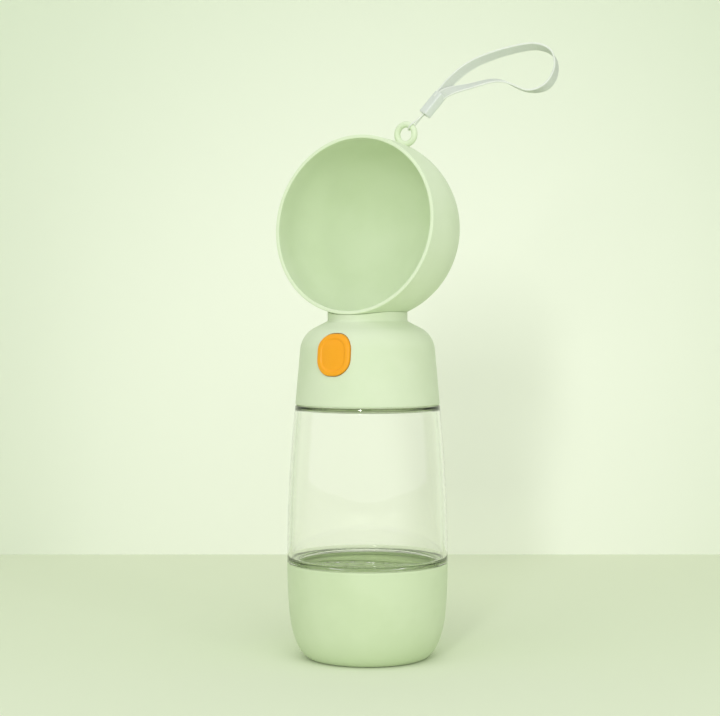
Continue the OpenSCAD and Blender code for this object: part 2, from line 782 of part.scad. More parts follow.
module chamber_lid() {
    seal_bore = stem_r + stem_seal_t + 2 * fit;
    color(plastic)
        difference() {
            union() {
                chamberBox(chamber_wall, lid_z, lid_top);
                atLidScrews()
                    translate([0, 0, lid_z])
                        cylinder(h = lid_h, r = screw_d / 2 + boss_wall, $fn = 32);
            }
            translate([0, valve_y, lid_z - 1])
                cylinder(h = lid_h + 2, r = stem_r + fit);
            translate([0, valve_y, lid_top - stem_seal_t - fit])
                cylinder(h = past, r = seal_bore);
            translate([0, tube_back, lid_z - 1])
                cylinder(h = lid_h + 2, r = tube_r - tube_wall);
            translate([0, tube_back, tube_z])
                cylinder(h = past, r = tube_r + fit);
            atLidScrews()
                translate([0, 0, lid_z - 1])
                    cylinder(h = lid_h + 2, r = screw_d / 2 + screw_gap, $fn = 32);
        }
}

module lid_screws() {
    color(steel)
        atLidScrews()
            translate([0, 0, lid_top])
                rotate([180, 0, 0])
                    screw(lid_screw_l);
}

module outlet_tube() {
    color(plastic)
        translate([0, tube_back, tube_z])
            ring(tube_r, tube_r - tube_wall, tube_top - tube_z);
}

module outlet_seal() {
    color(rubber)
        translate([0, tube_back, plate_top])
            ring(pad_r, tube_r + fit, outlet_seal_h);
}

module bowl() {
    lip = bowl_wall / 2;
    lip_r = lip + fit;
    color(green)
        difference() {
            union() {
                bowlBody(0, -lip);
                placeBowl()
                    rotate_extrude()
                        translate([rim_r - lip, bowl_front - lip])
                            circle(r = lip_r, $fn = 32);
                translate([0, tube_back, pad_z])
                    cylinder(h = meet_z - pad_z, r = pad_r);
                atBowlScrews()
                    translate([0, 0, plate_top + fit])
                        cylinder(h = meet_z - plate_top, r = screw_boss_r, $fn = 32);
                translate(eye)
                    rotate([90, 0, 0])
                        rotate_extrude()
                            translate([eye_r, 0])
                                circle(r = eye_t / 2, $fn = 32);
            }
            bowlBody(-bowl_wall, past);
            translate([0, tube_back, pad_z - 1])
                cylinder(h = past / 2, r = tube_r + fit);
            atBowlScrews()
                translate([0, 0, plate_z])
                    cylinder(h = bowl_screw_l + screw_room, r = screw_d / 2 + fit / 2, $fn = 32);
        }
}

module bowl_screws() {
    color(steel)
        atBowlScrews()
            translate([0, 0, plate_z])
                screw(bowl_screw_l);
}

module button() {
    color(orange) {
        difference() {
            union() {
                buttonLayer(0, -button_proud, button_depth);
                buttonLayer(flange_w, cap_inset, button_depth);
            }
            buttonLayer(-button_border, -button_proud - 1, button_dish - button_proud);
            translate([-past / 2, button_back + button_body, button_z - past / 2])
                cube(past);
        }
        intersection() {
            collarBody(button_depth - 1, button_z - button_h, button_z + button_h);
            union() {
                for (x = [-1, 1])
                    translate([x * (arm_gap + arm_w) / 2 - arm_w / 2, 0, 0])
                        rotate([90, 0, 90])
                            linear_extrude(height = arm_w)
                                polygon([
                                    [-base_r, arm_bottom], [ramp_y - button_travel - ramp_lead, arm_bottom],
                                    [ramp_y + ramp_lead, arm_top], [-base_r, arm_top]
                                ]);
                translate([0, spring_seat_y, spring_z])
                    rotate([90, 0, 0])
                        cylinder(h = spring_disc_h, r = spring_disc_r, $fn = 48);
                translate([0, spring_seat_y + button_stub, spring_z])
                    rotate([90, 0, 0])
                        cylinder(h = button_stub + spring_disc_h / 2, r = stub_r, $fn = 32);
            }
        }
    }
}

module button_spring() {
    length = chamber_face - spring_seat_y - 2 * fit;
    color(steel)
        translate([0, spring_seat_y + fit, spring_z])
            rotate([-90, 0, 0])
                coil(button_spring_d, length, button_spring_turns);
}

module valve_stem() {
    color(plastic)
        difference() {
            union() {
                translate([0, valve_y, stem_foot_z])
                    cylinder(h = stem_foot_h, r = stem_r + stem_foot_w);
                translate([0, valve_y, stem_foot_z])
                    cylinder(h = pin_z + stem_end - stem_foot_z, r = stem_r);
            }
            translate([-past / 2, valve_y, pin_z])
                rotate([0, 90, 0])
                    cylinder(h = past, r = pin_d / 2 + press, $fn = 32);
        }
}

module stem_pin() {
    color(steel)
        translate([-pin_l / 2, valve_y, pin_z])
            rotate([0, 90, 0])
                cylinder(h = pin_l, r = pin_d / 2, $fn = 32);
}

module valve_plug() {
    color(rubber)
        translate([0, valve_y, plug_top - plug_h])
            ring(plug_d / 2, stem_r + press, plug_h);
}

module valve_spring() {
    color(steel)
        translate([0, valve_y, spring_foot + fit])
            coil(valve_spring_d, spring_head - spring_foot - 2 * fit, valve_spring_turns);
}

module spring_washer() {
    color(steel)
        translate([0, valve_y, spring_head])
            ring(washer_r, stem_r + press, washer_h);
}

module seal_washer() {
    color(steel)
        translate([0, valve_y, lid_top])
            ring(washer_r, stem_r + 2 * fit, washer_h);
}

module stem_seal() {
    color(rubber)
        translate([0, valve_y, lid_top - stem_seal_t / 2])
            rotate_extrude()
                translate([stem_r + fit + stem_seal_t / 2, 0])
                    circle(r = stem_seal_t / 2, $fn = 24);
}

module hang_cord() {
    color(webbing)
        translate(eye)
            tube(spline(cord_points, cord_steps), cord_d, cord_sides);
}

module strap_bead() {
    color(webbing)
        translate(eye)
            rotate(strap_turn)
                translate([bead_at[0], 0, bead_at[1]])
                    rotate([0, 90 - bead_rise, 0])
                        rotate(bead_twist)
                            linear_extrude(height = bead_l)
                                roundPlate(bead_t, bead_w, bead_round);
}

module wrist_strap() {
    p = spline(strap_points, strap_steps);
    line = [for (q = p) [q[0], q[2], q[1]]];
    color(webbing)
        translate(eye)
            rotate(strap_turn)
                skin([for (i = [0:len(line) - 1])
                    let (t = along(line, i))
                    let (flat = unit(cross([0, 1, 0], t)))
                    let (deep = cross(t, flat))
                    let (w = cos(p[i][3]) * flat + sin(p[i][3]) * deep)
                    let (h = cross(t, w))
                    [for (k = [[1, 1], [-1, 1], [-1, -1], [1, -1]])
                        line[i] + k[0] * strap_w / 2 * w + k[1] * strap_t / 2 * h]]);
}

base_cup();
cup_seal();
bottle();
mouth_seal();
inner_cap();
collar();
chamber_seal();
chamber_lid();
lid_screws();
outlet_tube();
outlet_seal();
bowl();
bowl_screws();
button();
button_spring();
valve_stem();
stem_pin();
valve_plug();
valve_spring();
spring_washer();
seal_washer();
stem_seal();
hang_cord();
strap_bead();
wrist_strap();
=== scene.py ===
import math

import bmesh
import bpy
import numpy as np
from mathutils import Matrix, Vector


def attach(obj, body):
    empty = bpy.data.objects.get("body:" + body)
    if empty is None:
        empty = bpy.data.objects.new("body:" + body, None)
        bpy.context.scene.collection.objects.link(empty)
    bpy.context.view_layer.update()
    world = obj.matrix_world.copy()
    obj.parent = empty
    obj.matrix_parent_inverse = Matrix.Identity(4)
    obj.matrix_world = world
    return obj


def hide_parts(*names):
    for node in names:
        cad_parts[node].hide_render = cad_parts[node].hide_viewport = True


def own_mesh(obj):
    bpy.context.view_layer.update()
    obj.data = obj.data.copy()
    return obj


# Dog travel water bottle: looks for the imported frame. Sizes are in millimetres until a mesh is made.
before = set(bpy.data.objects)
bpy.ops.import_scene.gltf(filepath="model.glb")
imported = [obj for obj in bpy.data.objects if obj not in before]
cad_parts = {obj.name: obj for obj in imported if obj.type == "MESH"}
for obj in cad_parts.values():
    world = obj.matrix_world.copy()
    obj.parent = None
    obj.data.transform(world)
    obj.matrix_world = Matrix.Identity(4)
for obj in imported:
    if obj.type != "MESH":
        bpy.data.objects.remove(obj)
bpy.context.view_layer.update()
mm = 0.001
axisX, axisY, axisZ = Vector((1, 0, 0)), Vector((0, 1, 0)), Vector((0, 0, 1))


def rad(angle):
    return math.radians(angle)


def tan(angle):
    return math.tan(math.radians(angle))


def sin(angle):
    return math.sin(math.radians(angle))


def cos(angle):
    return math.cos(math.radians(angle))


def hexColour(text):
    # screen colour to the linear one that a shader takes
    parts = [int(text[i:i + 2], 16) / 255 for i in (0, 2, 4)]
    return [p / 12.92 if p < 0.04045 else ((p + 0.055) / 1.055) ** 2.4 for p in parts] + [1]


def tones(colour, deep, pale):
    return {"colour": hexColour(colour), "deep": hexColour(deep), "pale": hexColour(pale)}


def addObject(name, data):
    item = bpy.data.objects.new(name, data)
    bpy.context.scene.collection.objects.link(item)
    return item


camera = {
    "lens": 90, "sensor": 36, "away": 839.53, "height": 162.14,
    "azimuth": 29.81, "yaw": 0.24, "down": 1.52,
}
heading = camera["azimuth"] + camera["yaw"]
camData = bpy.data.cameras.new("photoCamera")
camData.lens = camera["lens"]
camData.sensor_width = camera["sensor"]
camData.clip_start = 0.01
camObject = addObject("photoCamera", camData)
camObject.location = (
    camera["away"] * sin(camera["azimuth"]) * mm, -camera["away"] * cos(camera["azimuth"]) * mm,
    camera["height"] * mm,
)
camObject.rotation_euler = (rad(90 - camera["down"]), 0, rad(heading))
bpy.context.scene.camera = camObject
bpy.context.scene.view_settings.view_transform = "Standard"

# Directions in the camera's level frame: away from it, and to its right
ahead = Vector((-sin(heading), cos(heading), 0))
right = Vector((cos(heading), sin(heading), 0))


class Wire:
    # one output socket, with arithmetic that adds Math nodes
    def __init__(self, web, socket):
        self.web, self.socket = web, socket

    def maths(self, operation, *others):
        node = self.web.tree.nodes.new("ShaderNodeMath")
        node.operation = operation
        for i, value in enumerate(others):
            self.web.feed(node.inputs[i], value)
        return Wire(self.web, node.outputs[0])

    def __add__(self, other):
        return self.maths("ADD", self, other)

    def __radd__(self, other):
        return self.maths("ADD", other, self)

    def __sub__(self, other):
        return self.maths("SUBTRACT", self, other)

    def __rsub__(self, other):
        return self.maths("SUBTRACT", other, self)

    def __mul__(self, other):
        return self.maths("MULTIPLY", self, other)

    def __rmul__(self, other):
        return self.maths("MULTIPLY", other, self)

    def __truediv__(self, other):
        return self.maths("DIVIDE", self, other)

    def __rtruediv__(self, other):
        return self.maths("DIVIDE", other, self)

    def sine(self):
        return self.maths("SINE", self)

    def cosine(self):
        return self.maths("COSINE", self)

    def floor(self):
        return self.maths("FLOOR", self)

    def absolute(self):
        return self.maths("ABSOLUTE", self)

    def smooth(self, low, high):
        # 0 at low, 1 at high
        node = self.web.add("ShaderNodeMapRange", {"interpolation_type": "SMOOTHSTEP"}, {
            "Value": self, "From Min": low, "From Max": high,
        })
        return node["Result"]


class Made:
    # a new node, whose outputs are read by identifier or name
    def __init__(self, web, node):
        self.web, self.node = web, node

    def __getitem__(self, key):
        return Wire(self.web, self.web.find(self.node.outputs, key))


class Web:
    # a node tree that is filled with add()
    def __init__(self, tree):
        self.tree = tree

    def find(self, sockets, key):
        if isinstance(key, int):
            return sockets[key]
        for s in sockets:
            if s.identifier == key:
                return s
        return sockets[key]

    def feed(self, socket, value):
        if isinstance(value, Wire):
            self.tree.links.new(value.socket, socket)
        else:
            socket.default_value = value

    def add(self, kind, settings=None, sockets=None):
        node = self.tree.nodes.new(kind)
        for key, value in (settings or {}).items():
            setattr(node, key, value)
        for key, value in (sockets or {}).items():
            self.feed(self.find(node.inputs, key), value)
        return Made(self, node)

    def mixColours(self, factor, first, second, blend="MIX"):
        return self.add("ShaderNodeMix", {"data_type": "RGBA", "blend_type": blend}, {
            "Factor_Float": factor, "A_Color": first, "B_Color": second,
        })["Result_Color"]

    def noise(self, place, scale, detail=2, rough=0.5):
        return self.add("ShaderNodeTexNoise", {}, {
            "Vector": place, "Scale": scale, "Detail": detail, "Roughness": rough,
        })["Fac"]

    def bump(self, height, distance, strength=1, under=None):
        sockets = {"Height": height, "Distance": distance, "Strength": strength}
        if under:
            sockets["Normal"] = under
        return self.add("ShaderNodeBump", {}, sockets)["Normal"]


def newMaterial(name):
    material = bpy.data.materials.new(name)
    material.use_nodes = True
    material.node_tree.nodes.clear()
    return material, Web(material.node_tree)


def finishMaterial(web, surface):
    web.add("ShaderNodeOutputMaterial", {}, {"Surface": surface})


def principled(web, sockets):
    # numbers sit on the shader's own sockets, and only what varies is linked
    return web.add("ShaderNodeBsdfPrincipled", {}, sockets)["BSDF"]


def objectPlace(web):
    return web.add("ShaderNodeTexCoord")["Object"]


def heightOf(web, place):
    return web.add("ShaderNodeSeparateXYZ", {}, {"Vector": place})["Z"]


def stretched(web, place, scale):
    return web.add("ShaderNodeMapping", {}, {"Vector": place, "Scale": scale})["Vector"]


# Marks of each finish: scales of their noises, the range in which a mark comes up, and depths
plasticMarks = {
    "cloud": 38, "cloudUp": (0.35, 0.7), "flow": 9, "flowUp": (0.55, 0.75), "flowShare": 0.7,
    "scratch": 3.2, "scratchAlong": (60, 60, 900), "scratchUp": (0.62, 0.72), "rubUp": (0.45, 0.7),
    "rub": 0.01, "cloudRough": 0.12, "rubRough": 0.08,
}
clearMarks = {"wave": 26, "smear": 75, "smearUp": (0.5, 0.78)}
steelMarks = {
    "along": (300, 300, 4000), "lines": 2.5, "lineRough": 0.16, "lineDeep": 0.006,
    "stain": 210, "stainUp": (0.5, 0.8), "stainShare": 0.35,
}
weaveMarks = {
    "over": 0.35, "selvedge": (0.68, 0.86), "fuzz": 9, "fuzzAlong": (1, 0.4, 1), "fuzzUp": (0.4, 0.8),
    "wide": 3, "wideAlong": (0.2, 0.05, 1), "wideUp": (0.5, 0.75),
}
rubberMarks = {"cloud": 90, "cloudUp": (0.4, 0.7), "cloudShare": 0.4, "dust": 1400, "dustDeep": 0.015}


def plasticMaterial(name, look):
    # moulded plastic: flow marks, fine spark texture, scuffs and rubbed places; optionally painted shade
    # towards the foot and painted light on inner faces
    material, web = newMaterial(name)
    place, marks = objectPlace(web), plasticMarks
    cloud = web.noise(place, marks["cloud"], 3, 0.55)
    flow = web.noise(place, marks["flow"], 2, 0.4)
    grain = web.noise(place, look["grain"], 2, 0.6)
    colour = web.mixColours(cloud.smooth(*marks["cloudUp"]) * look["vary"], look["colour"], look["deep"])
    flowing = flow.smooth(*marks["flowUp"]) * look["vary"] * marks["flowShare"]
    colour = web.mixColours(flowing, colour, look["pale"])
    # painted shade: the colour turns deeper towards the foot
    if look.get("lowEnd") is not None:
        low, high = look["lowEnd"]
        foot = 1 - heightOf(web, place).smooth(low * mm, high * mm)
        colour = web.mixColours(foot * look["lowShade"], colour, look["deep"])
    if look.get("insideOf") is not None:
        # painted light: inner faces are paler, standing in for light that comes through the wall
        apart = web.add("ShaderNodeVectorMath", {"operation": "LENGTH"}, {
            0: stretched(web, place, (1, 1, 0)),
        })["Value"]
        within = 1 - apart.smooth((look["insideOf"] - 0.2) * mm, (look["insideOf"] + 0.2) * mm)
        above = heightOf(web, place).smooth(look["insideFrom"] * mm, (look["insideFrom"] + 4) * mm)
        colour = web.mixColours(within * above, colour, look["inside"])
    scratch = web.noise(stretched(web, place, marks["scratchAlong"]), marks["scratch"], 4, 0.65)
    rubbed = scratch.smooth(*marks["scratchUp"]) * cloud.smooth(*marks["rubUp"])
    roughness = look["rough"] + (cloud - 0.5) * marks["cloudRough"] + rubbed * marks["rubRough"]
    normal = web.bump(grain, look["grainDeep"] * mm, 0.5)
    normal = web.bump(rubbed, marks["rub"] * mm, 0.3, normal)
    finishMaterial(web, principled(web, {
        "IOR": 1.46, "Specular IOR Level": look["shine"], "Coat Roughness": 0.3,
        "Sheen Weight": look.get("sheen", 0.0), "Sheen Roughness": 0.6,
        "Base Color": colour, "Roughness": roughness, "Normal": normal,
    }))
    return material


def clearMaterial(name, look):
    # polished clear plastic with faint smears; shadows let most light through
    material, web = newMaterial(name)
    place = objectPlace(web)
    wave = web.noise(place, clearMarks["wave"], 2, 0.4)
    smear = web.noise(place, clearMarks["smear"], 4, 0.6)
    roughness = look["rough"] + smear.smooth(*clearMarks["smearUp"]) * look["smear"]
    normal = web.bump(wave, look["wave"] * mm, 0.6)
    glass = principled(web, {
        "Base Color": look["colour"], "Transmission Weight": 1, "IOR": look["ior"],
        "Roughness": roughness, "Normal": normal,
    })
    through = web.add("ShaderNodeBsdfTransparent", {}, {"Color": look["shadow"]})
    path = web.add("ShaderNodeLightPath")
    straight = path["Is Shadow Ray"].maths("MAXIMUM", path["Is Shadow Ray"], path["Is Diffuse Ray"])
    mixed = web.add("ShaderNodeMixShader", {}, {0: straight, 1: glass, 2: through["BSDF"]})
    finishMaterial(web, mixed["Shader"])
    return material


def steelMaterial(name, look):
    # drawn or turned steel: fine lines along, faint tarnish
    material, web = newMaterial(name)
    place, marks = objectPlace(web), steelMarks
    lines = web.noise(stretched(web, place, marks["along"]), marks["lines"], 3, 0.6)
    stain = web.noise(place, marks["stain"], 3, 0.6)
    stained = stain.smooth(*marks["stainUp"]) * marks["stainShare"]
    colour = web.mixColours(stained, look["colour"], look["deep"])
    finishMaterial(web, principled(web, {
        "Metallic": 1, "Specular IOR Level": 0.5, "Base Color": colour,
        "Roughness": look["rough"] + lines * marks["lineRough"],
        "Normal": web.bump(lines, marks["lineDeep"] * mm, 0.6),
    }))
    return material


def weaveMaterial(name, look):
    # woven threads: the piece's UV map is in millimetres, U across and V along
    material, web = newMaterial(name)
    uv = web.add("ShaderNodeUVMap", {"uv_map": "UVMap"})["UV"]
    parts = web.add("ShaderNodeSeparateXYZ", {}, {"Vector": uv})
    across, along = parts["X"], parts["Y"]
    turn, marks = 2 * math.pi, weaveMarks
    warp = (across * (turn / look["warp"])).sine()
    weft = (along * (turn / look["weft"])).sine()
    over = (warp * weft).smooth(-marks["over"], marks["over"])
    ribs = warp.absolute() * 0.5 + weft.absolute() * 0.3 + over * 0.35
    edgeFrom, edgeTo = (look["half"] * share for share in marks["selvedge"])
    selvedge = (across - look["half"]).absolute().smooth(edgeFrom, edgeTo)
    fuzz = web.noise(stretched(web, uv, marks["fuzzAlong"]), marks["fuzz"], 3, 0.6)
    wide = web.noise(stretched(web, uv, marks["wideAlong"]), marks["wide"], 2, 0.5)
    # painted shade: deeper colour where a thread dips under its neighbour
    colour = web.mixColours(over * 0.55, look["deep"], look["colour"])
    colour = web.mixColours(fuzz.smooth(*marks["fuzzUp"]) * 0.35, colour, look["pale"])
    # painted highlight: a paler band along both edges, over the raised woven selvedge
    colour = web.mixColours(selvedge * 0.6, colour, look["pale"])
    colour = web.mixColours(wide.smooth(*marks["wideUp"]) * 0.25, colour, look["deep"])
    height = ribs * (1 - selvedge * 0.5) + selvedge * 0.45 + fuzz * 0.15
    finishMaterial(web, principled(web, {
        "Sheen Weight": 0.3, "Sheen Roughness": 0.5, "Specular IOR Level": 0.25, "Base Color": colour,
        "Roughness": 0.74 + fuzz * 0.16, "Normal": web.bump(height, look["lift"] * mm, 0.8),
    }))
    return material


def rubberMaterial(name, look):
    # soft seal: clouds of tone and fine dust
    material, web = newMaterial(name)
    place, marks = objectPlace(web), rubberMarks
    cloud = web.noise(place, marks["cloud"], 3, 0.55)
    dust = web.noise(place, marks["dust"], 3, 0.7)
    clouded = cloud.smooth(*marks["cloudUp"]) * marks["cloudShare"]
    colour = web.mixColours(clouded, look["colour"], look["deep"])
    finishMaterial(web, principled(web, {
        "Specular IOR Level": 0.3, "Base Color": colour,
        "Roughness": 0.55 + dust * 0.2, "Normal": web.bump(dust, marks["dustDeep"] * mm, 0.5),
    }))
    return material


greenLook = {
    **tones("D5E1C4", "C8D8B3", "DCE7CE"),
    "vary": 0.35, "grain": 2600, "grainDeep": 0.02, "rough": 0.5, "shine": 0.32, "sheen": 0.08,
}
materials = {
    "collarGreen": plasticMaterial("collarGreen", greenLook),
    # painted light and shade: the cup's and the bowl's greens are the collar's plastic, made darker for the
    # cup and paler for the bowl for how light falls on them
    "cupGreenShaded": plasticMaterial("cupGreenShaded", {
        **greenLook, **tones("D0DFBB", "BFD1A6", "D8E5C6"),
        "lowEnd": (0, 14), "lowShade": 0.4, "insideOf": 35.6, "insideFrom": 24,
        "inside": hexColour("E9F2DA"),
    }),
    "bowlGreenLit": plasticMaterial("bowlGreenLit", {
        **greenLook, **tones("DAE7C9", "CDDDB8", "E0ECD1"),
    }),
    "buttonOrange": plasticMaterial("buttonOrange", {
        **tones("F1A312", "EA9709", "F5AD2A"),
        "vary": 0.3, "grain": 3000, "grainDeep": 0.012, "rough": 0.38, "shine": 0.4,
    }),
    "innerPlastic": plasticMaterial("innerPlastic", {
        **tones("E6E9DC", "D6DBC8", "F0F2E8"),
        "vary": 0.35, "grain": 2400, "grainDeep": 0.02, "rough": 0.45, "shine": 0.4,
    }),
    "beadPlastic": plasticMaterial("beadPlastic", {
        **tones("D6DCD7", "C8D0C6", "E6EBE6"),
        "vary": 0.5, "grain": 2200, "grainDeep": 0.015, "rough": 0.3, "shine": 0.5,
    }),
    "clearPlastic": clearMaterial("clearPlastic", {
        "colour": hexColour("FFFFFE"), "shadow": hexColour("F1F5E9"), "ior": 1.45,
        "rough": 0.012, "smear": 0.03, "wave": 0.02,
    }),
    "softSeal": rubberMaterial("softSeal", {"colour": hexColour("C6D4B2"), "deep": hexColour("B6C6A0")}),
    "steel": steelMaterial("steel", {
        "colour": hexColour("C6C9CB"), "deep": hexColour("9B9E9F"), "rough": 0.2,
    }),
    "webbing": weaveMaterial("webbing", {
        **tones("DCE1DA", "C0C8BC", "ECF0E9"),
        "warp": 0.62, "weft": 0.95, "half": 2.3, "lift": 0.09,
    }),
    "cordThread": weaveMaterial("cordThread", {
        **tones("ECF0E9", "DCE2D6", "F6F9F3"),
        "warp": 0.42, "weft": 0.6, "half": 1.3, "lift": 0.05,
    }),
}
print("materials made:", len(materials))


def circle(count):
    # evenly turned unit points, anticlockwise from +X
    return [(cos(360 * k / count), sin(360 * k / count)) for k in range(count)]


def arcPoints(x, y, r, a, b, count):
    return [(x + r * cos(a + (b - a) * i / count), y + r * sin(a + (b - a) * i / count))
            for i in range(count + 1)]


def softLine(corners, step=1.2, count=5, closed=False):
    # corners are (r, z) or (r, z, radius); each radius becomes an arc, and long runs are divided
    pts = [Vector((c[0], c[1])) for c in corners]
    radii = [c[2] if len(c) > 2 else 0 for c in corners]
    line = []
    total = len(pts)
    for i, p in enumerate(pts):
        if not radii[i] or (not closed and i in (0, total - 1)):
            line.append(p)
            continue
        a, b = pts[(i - 1) % total] - p, pts[(i + 1) % total] - p
        room = 0.48 * min(a.length, b.length)
        a, b = a.normalized(), b.normalized()
        half = math.acos(max(-1, min(1, a.dot(b)))) / 2
        if half > rad(89):
            line.append(p)
            continue
        cut = min(radii[i] / math.tan(half), room)
        r = cut * math.tan(half)
        mid = p + (a + b).normalized() * r / math.sin(half)
        v, w = p + a * cut - mid, p + b * cut - mid
        whole = math.pi - 2 * half
        for k in range(count + 1):
            t = k / count
            line.append(mid + v * (math.sin((1 - t) * whole) / math.sin(whole))
                        + w * (math.sin(t * whole) / math.sin(whole)))
    if closed:
        line.append(line[0])
    full = [line[0]]
    for a, b in zip(line, line[1:]):
        parts = max(1, math.ceil((b - a).length / step))
        full += [a.lerp(b, k / parts) for k in range(1, parts + 1)]
    return full


def curvePoints(points, steps):
    # the same smooth line as the wrist strap's solids follow
    p = [np.array(q, float) for q in points]
    line = []
    for i in range(len(p) - 1):
        a, b, c, d = p[max(i - 1, 0)], p[i], p[i + 1], p[min(i + 2, len(p) - 1)]
        for j in range(steps):
            t = j / steps
            line.append(b + t * (c - a) / 2 + t * t * (a - 2.5 * b + 2 * c - d / 2)
                        + t ** 3 * (1.5 * (b - c) + (d - a) / 2))
    return line + [p[-1]]


def newGroup(name, inputs):
    # each input is a label and the kind of its socket
    tree = bpy.data.node_groups.new(name, "GeometryNodeTree")
    keys = {}
    for label, kind in inputs.items():
        socket = tree.interface.new_socket(label, in_out="INPUT", socket_type="NodeSocket" + kind)
        keys[label] = socket.identifier
    tree.interface.new_socket("Geometry", in_out="OUTPUT", socket_type="NodeSocketGeometry")
    web = Web(tree)
    return tree, web, web.add("NodeGroupInput"), keys


def finishTree(web, given, geometry):
    # the tree's last nodes: real geometry with the piece's own finish
    real = web.add("GeometryNodeRealizeInstances", {}, {"Geometry": geometry})["Geometry"]
    done = web.add("GeometryNodeSetMaterial", {}, {"Geometry": real, "Material": given["Finish"]})
    web.add("NodeGroupOutput", {}, {"Geometry": done["Geometry"]})


def turnedTree():
    # turns the piece's own line of points about Z into a closed wall
    tree, web, given, keys = newGroup("turnedPart", {
        "Line": "Geometry", "Steps": "Int", "Finish": "Material",
    })
    count = web.add("GeometryNodeAttributeDomainSize", {}, {"Geometry": given["Line"]})["Point Count"]
    around = given["Steps"] + 1
    grid = web.add("GeometryNodeMeshGrid", {}, {"Vertices X": count, "Vertices Y": around})["Mesh"]
    index = web.add("GeometryNodeInputIndex")["Index"]
    row = (index / around + 0.0001).floor()
    turn = (index - row * around) / given["Steps"] * (2 * math.pi)
    point = web.add("GeometryNodeSampleIndex", {"data_type": "FLOAT_VECTOR", "domain": "POINT"}, {
        "Geometry": given["Line"], "Value": web.add("GeometryNodeInputPosition")["Position"], "Index": row,
    })["Value"]
    parts = web.add("ShaderNodeSeparateXYZ", {}, {"Vector": point})
    place = web.add("ShaderNodeCombineXYZ", {}, {
        "X": parts["X"] * turn.cosine(), "Y": parts["X"] * turn.sine(), "Z": parts["Z"],
    })["Vector"]
    wall = web.add("GeometryNodeSetPosition", {}, {"Geometry": grid, "Position": place})["Geometry"]
    wall = web.add("GeometryNodeMergeByDistance", {}, {"Geometry": wall, "Distance": 0.000002})
    finishTree(web, given, wall["Geometry"])
    return tree, keys


def repeatTree():
    # puts one shape at each point of the piece's own mesh
    tree, web, given, keys = newGroup("repeatedPart", {
        "Places": "Geometry", "Shape": "Object", "Finish": "Material",
    })
    shape = web.add("GeometryNodeObjectInfo", {"transform_space": "ORIGINAL"}, {
        "Object": given["Shape"], "As Instance": True,
    })["Geometry"]
    placed = web.add("GeometryNodeInstanceOnPoints", {}, {
        "Points": given["Places"], "Instance": shape,
        "Rotation": web.add("FunctionNodeEulerToRotation", {}, {
            "Euler": web.add("GeometryNodeInputNamedAttribute", {"data_type": "FLOAT_VECTOR"}, {
                "Name": "turn",
            })["Attribute"],
        })["Rotation"],
    })["Instances"]
    finishTree(web, given, placed)
    return tree, keys


def springTree():
    # coil spring up Z from the origin, its wire inside its length
    tree, web, given, keys = newGroup("coilSpring", {
        "Start": "Geometry", "Diameter": "Float", "Length": "Float", "Turns": "Float",
        "Wire": "Float", "Finish": "Material",
    })
    line = web.add("GeometryNodeCurveSpiral", {}, {
        "Resolution": 40, "Rotations": given["Turns"], "Start Radius": given["Diameter"] / 2,
        "End Radius": given["Diameter"] / 2, "Height": given["Length"] - given["Wire"],
    })["Curve"]
    line = web.add("GeometryNodeSetPosition", {}, {
        "Geometry": line,
        "Offset": web.add("ShaderNodeCombineXYZ", {}, {"Z": given["Wire"] / 2})["Vector"],
    })["Geometry"]
    wireEdge = web.add("GeometryNodeCurvePrimitiveCircle", {"mode": "RADIUS"}, {
        "Resolution": 12, "Radius": given["Wire"] / 2,
    })["Curve"]
    wire = web.add("GeometryNodeCurveToMesh", {}, {
        "Curve": line, "Profile Curve": wireEdge, "Fill Caps": True,
    })["Mesh"]
    finishTree(web, given, wire)
    return tree, keys


trees = {"turned": turnedTree(), "repeat": repeatTree(), "spring": springTree()}


def evaluatedMesh(item):
    bpy.context.view_layer.update()
    return bpy.data.meshes.new_from_object(item.evaluated_get(bpy.context.evaluated_depsgraph_get()))


def grow(kind, start, values):
    # runs a tree on a start mesh and gives back the plain mesh
    tree, keys = trees[kind]
    holder = addObject("holder", start)
    modifier = holder.modifiers.new(kind, "NODES")
    modifier.node_group = tree
    for name, value in values.items():
        modifier[keys[name]] = value
    made = evaluatedMesh(holder)
    holder.modifiers.remove(modifier)
    bpy.data.objects.remove(holder)
    return made


def turned(line, finish, steps=192):
    # line is in millimetres as (radius, height)
    start = bpy.data.meshes.new("line")
    edges = [(i, i + 1) for i in range(len(line) - 1)]
    start.from_pydata([(p[0] * mm, 0, p[1] * mm) for p in line], edges, [])
    return grow("turned", start, {"Steps": steps, "Finish": finish})


def positions(mesh):
    co = np.empty(len(mesh.vertices) * 3)
    mesh.vertices.foreach_get("co", co)
    return co.reshape(-1, 3) / mm


def setPositions(mesh, co):
    mesh.vertices.foreach_set("co", (co * mm).ravel())
    mesh.update()


def tidyMesh(mesh, merge=0.001):
    # merges doubles, drops flat faces and points all faces outwards
    bm = bmesh.new()
    bm.from_mesh(mesh)
    bmesh.ops.remove_doubles(bm, verts=bm.verts, dist=merge * mm)
    bmesh.ops.dissolve_degenerate(bm, dist=merge * mm * 0.5, edges=bm.edges)
    bmesh.ops.recalc_face_normals(bm, faces=bm.faces)
    bm.to_mesh(mesh)
    bm.free()


def meshOf(verts, faces):
    mesh = bpy.data.meshes.new("shape")
    mesh.from_pydata([tuple(np.array(v) * mm) for v in verts], [], faces)
    return mesh


